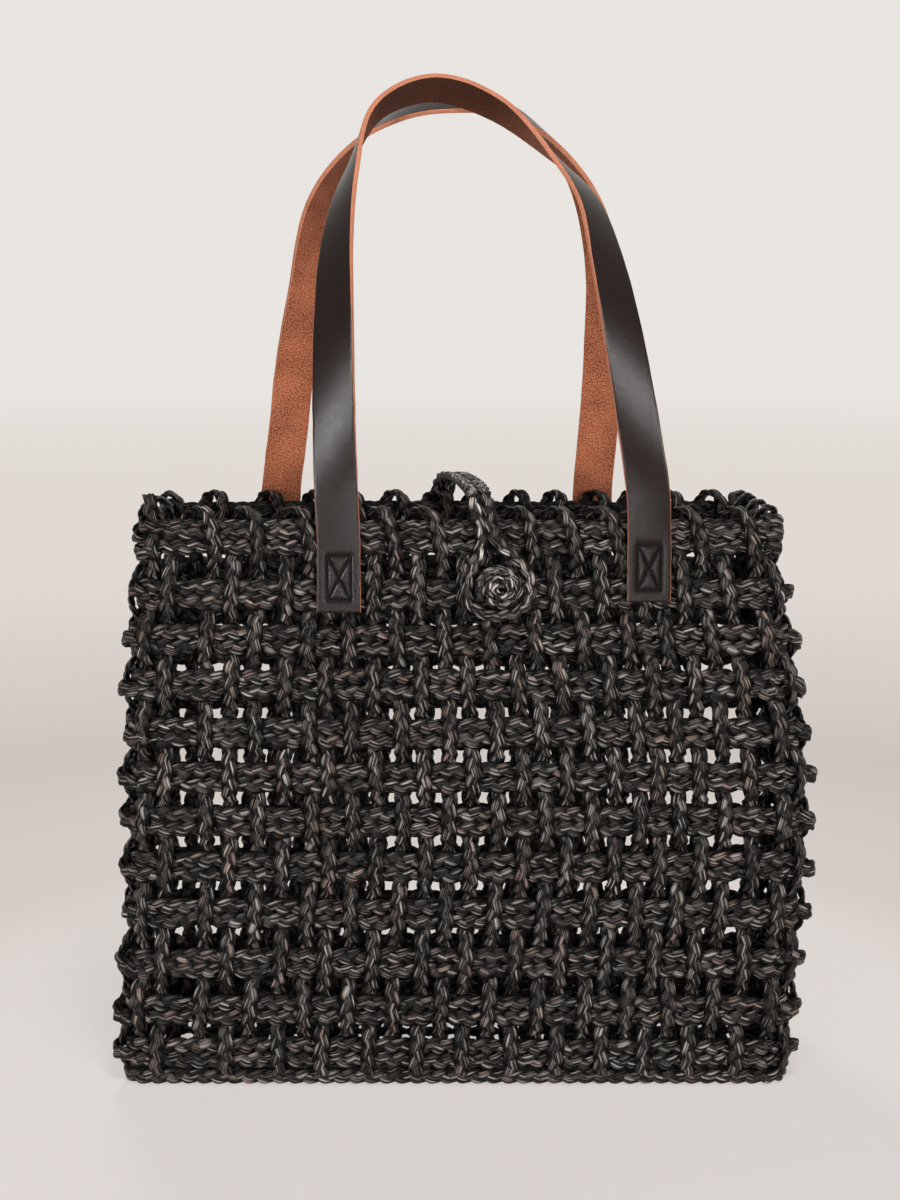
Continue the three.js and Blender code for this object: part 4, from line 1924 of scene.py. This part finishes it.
    def _strap(self) -> None:
        """Sweeps the section along the strap."""
        line, twist = self._stations()
        lead = tangents(line)
        face_out = np.array([0.0, float(self.side), 0.0])
        face = unit(face_out - (lead @ face_out)[:, None] * lead)
        outward = np.cross(face, lead)
        normal = face * np.cos(twist)[:, None] + outward * np.sin(twist)[:, None]
        wide = np.cross(lead, normal)
        across, through, faces = self._section()
        along = run_length(line)
        ripple = drift(along, random.Random(self.name), *self.ripple)
        depth = np.broadcast_to(through, (len(line), len(through))).copy()
        depth -= self._pulled_in(along, across, through)
        free = np.clip((line[:, 2] - self.bend_low) / (self.bend_high - self.bend_low), 0, 1)
        depth += self.crown * free[:, None] * (1 - (across / (self.width / 2)) ** 2)
        reach = across[None, :] * (1 + ripple[:, None] / (self.width / 2))
        rings = ring_points(line, wide, normal, reach, depth)
        girth = run_length(np.column_stack([across, through]))
        girth = np.append(girth, girth[-1] + self.corner)
        piece = TubeMesh(f"{self.name}_leather", [Tube(rings, along, around=girth)]).build()
        self._dress(piece, faces, girth * MM)
        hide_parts(f"{self.name}_left_end", f"{self.name}_right_end", f"{self.name}_strap")
        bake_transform(piece)
        LOG.info("%s: %.0f mm of strap, %d faces", piece.name, along[-1], len(piece.data.polygons))

    def _pulled_in(self, along: np.ndarray, across: np.ndarray, through: np.ndarray) -> np.ndarray:
        """How far the thread pulls the grain face in.

        Args:
            along: Distance of each station from the first.
            across: Place across of each point of the section.
            through: Place through of each point of the section.

        Returns:
            The depth at each station and point of the section.
        """
        half_w, half_h = self.stitch_width / 2, self.stitch_height / 2
        middle = self.stitch_up + half_h
        dent = np.zeros((len(along), len(across)))
        for centre in (middle, along[-1] - middle):
            up, side = np.meshgrid(along - centre, across, indexing="ij")
            for (x0, z0), (x1, z1), _ in self.stitch_lines:
                dx, dz = (x1 - x0) * half_w, (z1 - z0) * half_h
                far, high = side - x0 * half_w, up - z0 * half_h
                share = np.clip((far * dx + high * dz) / (dx * dx + dz * dz), 0, 1)
                gap = np.hypot(far - share * dx, high - share * dz)
                near = np.exp(-((gap / self.dent_width) ** 2))
                dent = np.maximum(dent, self.dent_depth * near)
        return dent * (through > 0)[None, :]

    def _dress(
        self, piece: bpy.types.Object, faces: Sequence[LeatherFace], girth: np.ndarray
    ) -> None:
        """Gives each face of the strap its leather, by its place round the section.

        Args:
            piece: The strap.
            faces: The face of each stretch of the section.
            girth: Where each stretch starts and the last one ends, in metres round the section.
        """
        mesh = piece.data
        for material in self.finishes.leather:
            mesh.materials.append(material)
        uv = read_map(mesh)
        for polygon in mesh.polygons:
            if polygon.loop_total > 4:
                polygon.material_index = LeatherFace.EDGE.value
                polygon.use_smooth = False
                continue
            first = polygon.loop_start
            middle = uv[first : first + polygon.loop_total, 0].mean()
            column = int(np.searchsorted(girth, middle, side="right")) - 1
            polygon.material_index = faces[min(column, len(faces) - 1)].value

    def _stitches(self, end: Side) -> None:
        """Makes the box of stitches with a cross.

        Args:
            end: Which end of the strap it holds.
        """
        label = end.name.lower()
        draw = random.Random(f"{self.name} {label}")
        half = np.array([self.stitch_width, self.stitch_height]) / 2
        middle = np.array([self.end_x(end), self.end_bottom(end) + self.stitch_up + half[1]])
        tubes = []
        for line in self.stitch_lines:
            start, finish, count = line
            raised = self.crossed_rise if line is self.stitch_lines[-1] else self.stitch_rise
            holes = np.linspace(middle + half * start, middle + half * finish, count + 1)
            tubes += [self._stitch(a, b, raised, draw) for a, b in zip(holes, holes[1:])]
        piece = TubeMesh(f"{self.name}_{label}_thread", tubes).build()
        piece.data.materials.append(self.finishes.thread)
        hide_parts(f"{self.name}_{label}_stitch")
        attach(piece, "root")
        LOG.info("%s: %d stitches", piece.name, len(tubes))

    def _stitch(
        self, start: np.ndarray, finish: np.ndarray, raised: float, draw: random.Random
    ) -> Tube:
        """Makes one stitch, which comes up, lies on the leather and goes down again.

        Args:
            start: Its first hole.
            finish: Its second hole.
            raised: How high it lies on the leather.
            draw: Source of random numbers.

        Returns:
            The stitch.
        """
        shift = draw.uniform(-self.stitch_slip, self.stitch_slip)
        face = self.strap_plane + self.thickness / 2
        rows = []
        for share, lift in self.stitch_shape:
            x, z = start + (finish - start) * share
            y = face + (raised * lift if lift > 0 else lift)
            rows.append((x + shift, self.side * y, z))
        return round_tube(through_points(rows, 3), self.thread / 2, 8, draw.uniform(0, 50))


FRONT_ROUTE = (
    (-71.5, 0), (-72.8, 29), (-73.9, 73), (-73.8, 126), (-72, 173), (-66, 209), (-49.9, 250),
    (-17.7, 264), (19.6, 252), (52.6, 222), (71.6, 197), (82.8, 158), (93.3, 106), (102.6, 53),
    (106.3, 27), (107, 0),
)
BACK_ROUTE = (
    (-117.2, 0), (-115.8, 22), (-111, 60), (-107.3, 95), (-98.8, 147), (-89, 202), (-66.1, 236),
    (-35.8, 254), (-7.8, 259), (25.1, 256), (52.4, 240), (77.2, 206), (89.5, 162), (90.4, 108),
    (87.3, 56), (84.3, 22), (83.8, 0),
)


# Closure


@dataclass
class Closure:
    """The braided strap over the mouth with its eye, and the coiled button.

    Each bend is a pair of points in metres where a piece would turn from one body into the next; the
    bends are not used.
    """

    finishes: Finishes
    seed: int = 5
    lane: float = 3.7
    strand: Strand = Strand(width=8.2, thickness=5.2, period=26.0, step=2.0)
    eye_narrowing: float = 0.86
    narrow_span: Span = (312.0, 334.0)
    root_y: float = 56.85
    loop_plane: float = 64.6
    back_bend: tuple[Point, Point] = ((0, 0.0569, 0.340), (0, 0.048, 0.357))
    front_bend: tuple[Point, Point] = ((0, -0.058, 0.356), (0, -0.0665, 0.337))
    button_x: float = 21.6
    button_z: float = 298.0
    coil_radius: float = 12.8
    coil_inner: float = 1.6
    coil_pitch: float = 4.5
    coil_start: float = 0.6
    coil_dome: float = 1.3
    coil_strand: Strand = Strand(width=6.2, thickness=4.6, period=19.0, unevenness=0.22)
    winding_turns: float = 3.4
    winding_radius: float = 2.6
    winding_pitch: float = 0.72
    winding_y: float = 59.4
    winding_thread: float = 0.8
    core_radius: float = 2.2
    core_span: Span = (58.2, 62.4)

    def build(self) -> None:
        """Makes the strap in two pieces that meet over the mouth, the button and its shank."""
        draw = random.Random(self.seed)
        route = smooth_route(self._knots(), self.strand.step)
        whole = self.strand.plies(route, draw, self._swell(route))
        first, last = self._cuts(route)
        ends = ((0, first), (last, len(route.points) - 1))
        near = [ply.part(first, last) for ply in whole]
        far = [ply.part(start, stop) for start, stop in ends for ply in whole]
        back = self._add("closure_back_braid", far, "closure_root", "closure_strap")
        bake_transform(back)
        front = self._add("closure_eye_braid", near, "closure_loop")
        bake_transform(front)
        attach(self._add("button_coil_plies", self._coil(draw), "button_coil"), "root")
        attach(self._add("button_shank_winding", self._shank(), "button_shank"), "root")

    def _add(self, name: str, tubes: list[Tube], *nodes: str) -> bpy.types.Object:
        """Makes one piece of the closure.

        Args:
            name: Name of the piece.
            tubes: Its skins.
            nodes: The solids that it replaces.

        Returns:
            The piece.
        """
        piece = TubeMesh(name, tubes).build()
        piece.data.materials.append(self.finishes.closure_grass)
        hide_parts(*nodes)
        LOG.info("%s: %d tubes, %d faces", name, len(tubes), len(piece.data.polygons))
        return piece

    def _knots(self) -> list[Knot]:
        """Finds the corner points of the one strand that runs up, over, round the eye and back.

        Returns:
            Rows of a point and its face direction.
        """
        out = [
            (-13.0, self.root_y, 317.0, 0, 1, 0),
            (-13.0, self.root_y, 326.0, 0, 1, 0),
            (-13.0, self.root_y, 338.0, 0, 1, 0),
            (-12.0, self.root_y, 345.0, 0, 1, 0.2),
            (-9.5, 51.0, 352.8, 0, 0.7, 0.7),
            (-4.0, 32.0, 355.4, 0, 0.1, 1),
            (2.0, -3.9, 355.4, 0, 0, 1),
            (6.5, -35.0, 354.2, 0, -0.1, 1),
            (9.6, -57.0, 351.0, 0, -0.6, 0.8),
            (11.2, -self.loop_plane, 342.0, 0, -1, 0.1),
            (13.0, -self.loop_plane, 333.0, 0, -1, 0),
            (14.6, -self.loop_plane, 325.0, 0, -1, 0),
        ]
        left = [(x - self.lane, *rest) for x, *rest in out]
        right = [(x + self.lane, *rest) for x, *rest in reversed(out)]
        eye = [
            (7.6, 315.0), (2.6, 304.0), (1.6, 293.0), (7.4, 284.6), (19.6, 281.4),
            (32.4, 284.4), (39.6, 293.0), (39.2, 304.0), (30.5, 315.5),
        ]
        loop = [(x, -self.loop_plane, z, 0, -1, 0) for x, z in eye]
        return [*left, *loop, *right]

    def _swell(self, route: Route) -> np.ndarray:
        """Finds how the strand narrows round the eye.

        Args:
            route: Its centre line.

        Returns:
            Its width at each station, as a share of the usual one.
        """
        low, high = self.narrow_span
        in_front = route.points[:, 1] < -self.loop_plane + 8
        share = np.clip((high - route.points[:, 2]) / (high - low), 0, 1) * in_front
        share = share * share * (3 - 2 * share)
        return 1 + (self.eye_narrowing - 1) * share

    def _cuts(self, route: Route) -> tuple[int, int]:
        """Stations where the strand passes the middle of the mouth."""
        ahead = route.points[:, 1] < 0
        return int(np.argmax(ahead)), len(ahead) - 1 - int(np.argmax(ahead[::-1]))

    def _coil(self, draw: random.Random) -> list[Tube]:
        """Winds the button.

        Args:
            draw: Source of random numbers.

        Returns:
            Its plies.
        """
        turns = (self.coil_radius - self.coil_inner) / self.coil_pitch
        share = np.linspace(0, 1, 90)
        angle = share * turns * TURN + self.coil_start
        radius = self.coil_inner + share * (self.coil_radius - self.coil_inner)
        x = self.button_x + radius * np.cos(angle)
        y = -(self.loop_plane + self.coil_dome * np.cos(share * math.pi / 2))
        z = self.button_z + radius * np.sin(angle)
        points = np.column_stack([x, y, z])
        route = Route(points, np.tile([0.0, -1.0, 0.0], (len(points), 1)))
        return self.coil_strand.plies(route, draw)

    def _shank(self) -> list[Tube]:
        """Makes the stem that ties the button to the wall.

        Returns:
            Its winding and its core.
        """
        turn = np.linspace(0, self.winding_turns * TURN, 70)
        x = self.button_x + self.winding_radius * np.cos(turn)
        y = -(self.winding_y + turn / TURN * self.winding_pitch)
        z = self.button_z + self.winding_radius * np.sin(turn)
        winding = round_tube(np.column_stack([x, y, z]), self.winding_thread, 8)
        deep = np.linspace(*self.core_span, 6)
        core = np.array([[self.button_x, -y, self.button_z] for y in deep])
        return [winding, round_tube(core, self.core_radius, 10)]


# Loose fibres


@dataclass(frozen=True)
class FibreKind:
    """One kind of loose fibre."""

    name: str
    count: int
    length: tuple[float, float]
    radius: float
    curl: float


@dataclass
class StrayFibres:
    """Short fuzz all over the weave, and single fibres that stand out from it."""

    finishes: Finishes
    seed: int = 23
    kinds: tuple[FibreKind, ...] = (
        FibreKind("grass_fuzz", count=900, length=(2.0, 6.0), radius=0.13, curl=0.7),
        FibreKind("stray_fibres", count=70, length=(8.0, 20.0), radius=0.16, curl=1.2),
    )
    root_depth: float = 0.3
    lowest_z: float = 0.4
    tip_share: float = 0.45

    def build(self, tubes: Sequence[Tube]) -> None:
        """Makes a piece of each kind.

        Args:
            tubes: The plies that they grow from.
        """
        draw = random.Random(self.seed)
        weights = [float(tube.along[-1]) for tube in tubes]
        for kind in self.kinds:
            roots = draw.choices(tubes, weights, k=kind.count)
            piece = TubeMesh(kind.name, [self._fibre(tube, draw, kind) for tube in roots]).build()
            piece.data.materials.append(self.finishes.stray_grass)
            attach(piece, "root")
            LOG.info("%s: %d fibres", kind.name, kind.count)

    def _fibre(self, tube: Tube, draw: random.Random, kind: FibreKind) -> Tube:
        """Makes one fibre that lifts off a ply and curls away.

        Args:
            tube: The ply.
            draw: Source of random numbers.
            kind: What it is like.

        Returns:
            The fibre.
        """
        station = draw.randrange(1, len(tube.rings) - 1)
        column = draw.randrange(tube.rings.shape[1])
        root = tube.rings[station, column]
        out = unit(root - tube.centre(station))
        lead = unit(tube.centre(station + 1) - tube.centre(station - 1)) * draw.choice((-1, 1))
        aside = np.cross(out, lead)
        reach = draw.uniform(*kind.length)
        bend, swing = (draw.uniform(-kind.curl, kind.curl) for _ in range(2))
        rows = []
        for share in np.linspace(0, 1, 6):
            forward = lead * reach * share
            away = out * reach * (0.25 * share + 0.35 * bend * share**2)
            sideways = aside * reach * 0.4 * swing * share**2
            rows.append(root - out * self.root_depth + forward + away + sideways)
        line = np.array(rows)
        line[:, 2] = np.maximum(line[:, 2], self.lowest_z)
        taper = kind.radius * np.linspace(1, self.tip_share, len(line))
        return round_tube(line, taper, 3, draw.uniform(0, 9000))


# Setting


@dataclass(frozen=True)
class Lamp:
    """A square soft lamp that points at the bag."""

    name: str
    place: Point
    size: float
    power: float
    mirrored: bool = True
    aim: Point = (0, 0, 0.22)

    def build(self) -> None:
        """Makes the lamp."""
        lamp = bpy.data.lights.new(self.name, "AREA")
        lamp.shape = "SQUARE"
        lamp.size = self.size
        lamp.energy = self.power
        thing = add_object(self.name, lamp)
        thing.location = self.place
        lead = Vector(self.aim) - Vector(self.place)
        thing.rotation_euler = lead.to_track_quat("-Z", "Y").to_euler()
        thing.visible_glossy = self.mirrored


@dataclass(frozen=True)
class Studio:
    """Pale floor, soft lamps and the camera, in metres.

    The floor takes light and shadow near the bag and turns into a plain glow farther away, whose
    colour changes over each of the fades.
    """

    camera_place: Point = (-0.00755, -1.0458, 0.4469)
    camera_tilt: float = 4.1
    camera_shift: float = -0.1233
    lens: float = 51.774
    sensor_width: float = 36.0
    floor_reach: float = 14.0
    lit_floor: Colour = (0.42, 0.40, 0.385)
    floor_roughness: float = 0.85
    floor_shine: float = 0.15
    plain_share: float = 0.45
    plain_span: Span = (0.3, 1.1)
    floor_glow: float = 1.66
    glow_span: Span = (0.3, 0.9)
    near_floor: Colour = tone(220, 213, 209)
    low_wall: Colour = tone(207, 198, 192)
    mid_wall: Colour = tone(224, 217, 211)
    high_wall: Colour = tone(233, 229, 225)
    fades: tuple[Span, ...] = ((0.31, 0.46), (0.55, 2.2), (2.5, 12.0))
    sky_colour: Colour = (1.0, 0.985, 0.97)
    sky_strength: float = 0.14
    lamps: tuple[Lamp, ...] = (
        Lamp("left_lamp", (-0.87, -1.80, 0.28), size=0.32, power=16.0),
        Lamp("right_lamp", (1.23, -1.58, 0.52), size=0.42, power=14.0),
        Lamp("front_lamp", (0.06, -1.76, 0.07), size=0.22, power=4.5),
        Lamp("top_lamp", (0.25, -1.1, 2.3), size=0.5, power=27.0),
        Lamp("back_lamp", (-0.6, 1.9, 1.6), size=0.7, power=26.0, mirrored=False),
    )

    def build(self) -> None:
        """Makes the setting and sets the view."""
        self._floor()
        self._world()
        for lamp in self.lamps:
            lamp.build()
        self._camera()
        bpy.context.scene.view_settings.view_transform = "Standard"

    def _floor(self) -> None:
        """A wide disc that fades into the background."""
        work = bmesh.new()
        bmesh.ops.create_circle(work, cap_ends=True, segments=96, radius=self.floor_reach)
        mesh = bpy.data.meshes.new("floor")
        work.to_mesh(mesh)
        work.free()
        material, bench = open_material("pale_floor")
        bench.shade(
            Base_Color=(*self.lit_floor, 1),
            Roughness=self.floor_roughness,
            Specular_IOR_Level=self.floor_shine,
        )
        reach = bench.add("ShaderNodeVectorMath", {"operation": "LENGTH"}, Vector=bench.place("Object"))
        away = reach.outputs["Value"]
        colour = (*self.near_floor, 1)
        for (start, end), shade in zip(self.fades, (self.low_wall, self.mid_wall, self.high_wall)):
            colour = bench.mix(bench.span(away, start, end), colour, (*shade, 1))
        strength = bench.span(away, *self.glow_span, self.floor_glow, 1.0)
        glow = bench.add("ShaderNodeEmission", Color=colour, Strength=strength)
        plain = bench.span(away, *self.plain_span, self.plain_share, 1.0)
        share = bench.math("MULTIPLY", plain, self._seen(bench))
        nodes = material.node_tree.nodes
        lit = nodes["Principled BSDF"].outputs[0]
        bench.blend(share, lit, glow.outputs[0], nodes["Material Output"])
        mesh.materials.append(material)
        add_object("floor", mesh)

    @staticmethod
    def _seen(bench: NodeBench) -> bpy.types.NodeSocket:
        """Tells rays that show a surface from rays that light one.

        Args:
            bench: Bench of the tree.

        Returns:
            1 for a ray from the camera, a reflection or a refraction.
        """
        rays = bench.add("ShaderNodeLightPath")
        seen = bench.math("MAXIMUM", rays.outputs["Is Camera Ray"], rays.outputs["Is Glossy Ray"])
        return bench.math("MAXIMUM", seen, rays.outputs["Is Transmission Ray"])

    def _world(self) -> None:
        """Even light all round, and the pale background where it is seen."""
        world = bpy.data.worlds.new("studio")
        bpy.context.scene.world = world
        world.use_nodes = True
        bench = NodeBench(world.node_tree)
        nodes = world.node_tree.nodes
        sky = nodes["Background"]
        bench.feed_all(sky, {"Color": (*self.sky_colour, 1), "Strength": self.sky_strength})
        shown = bench.add("ShaderNodeBackground", Color=(*self.high_wall, 1), Strength=1.0)
        end = nodes["World Output"]
        bench.blend(self._seen(bench), sky.outputs[0], shown.outputs[0], end)

    def _camera(self) -> None:
        """The photograph's viewing angle."""
        camera = bpy.data.cameras.new("camera")
        camera.lens = self.lens
        camera.sensor_width = self.sensor_width
        camera.clip_end = 60.0
        camera.shift_y = self.camera_shift
        thing = add_object("camera", camera)
        thing.location = self.camera_place
        thing.rotation_euler = (math.radians(90 - self.camera_tilt), 0, 0)
        bpy.context.scene.camera = thing


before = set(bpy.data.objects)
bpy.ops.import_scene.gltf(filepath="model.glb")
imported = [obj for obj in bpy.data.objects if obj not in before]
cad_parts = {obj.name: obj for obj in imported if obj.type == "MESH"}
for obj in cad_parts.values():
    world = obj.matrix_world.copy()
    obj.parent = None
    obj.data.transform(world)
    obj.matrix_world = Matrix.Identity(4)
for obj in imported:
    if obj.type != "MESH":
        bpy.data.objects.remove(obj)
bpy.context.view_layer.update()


def main() -> None:
    """Builds the bag and its setting."""
    logging.basicConfig(level=logging.INFO, format="%(name)s %(message)s")
    plan = Plan()
    finishes = Finishes()
    weave = Weave(plan, finishes)
    weave.build()
    Handle("front_handle", Wall.FRONT, FRONT_ROUTE, finishes).build()
    Handle("back_handle", Wall.BACK, BACK_ROUTE, finishes).build()
    Closure(finishes).build()
    StrayFibres(finishes).build(weave.tubes)
    Studio().build()


if __name__ == "__main__":
    main()
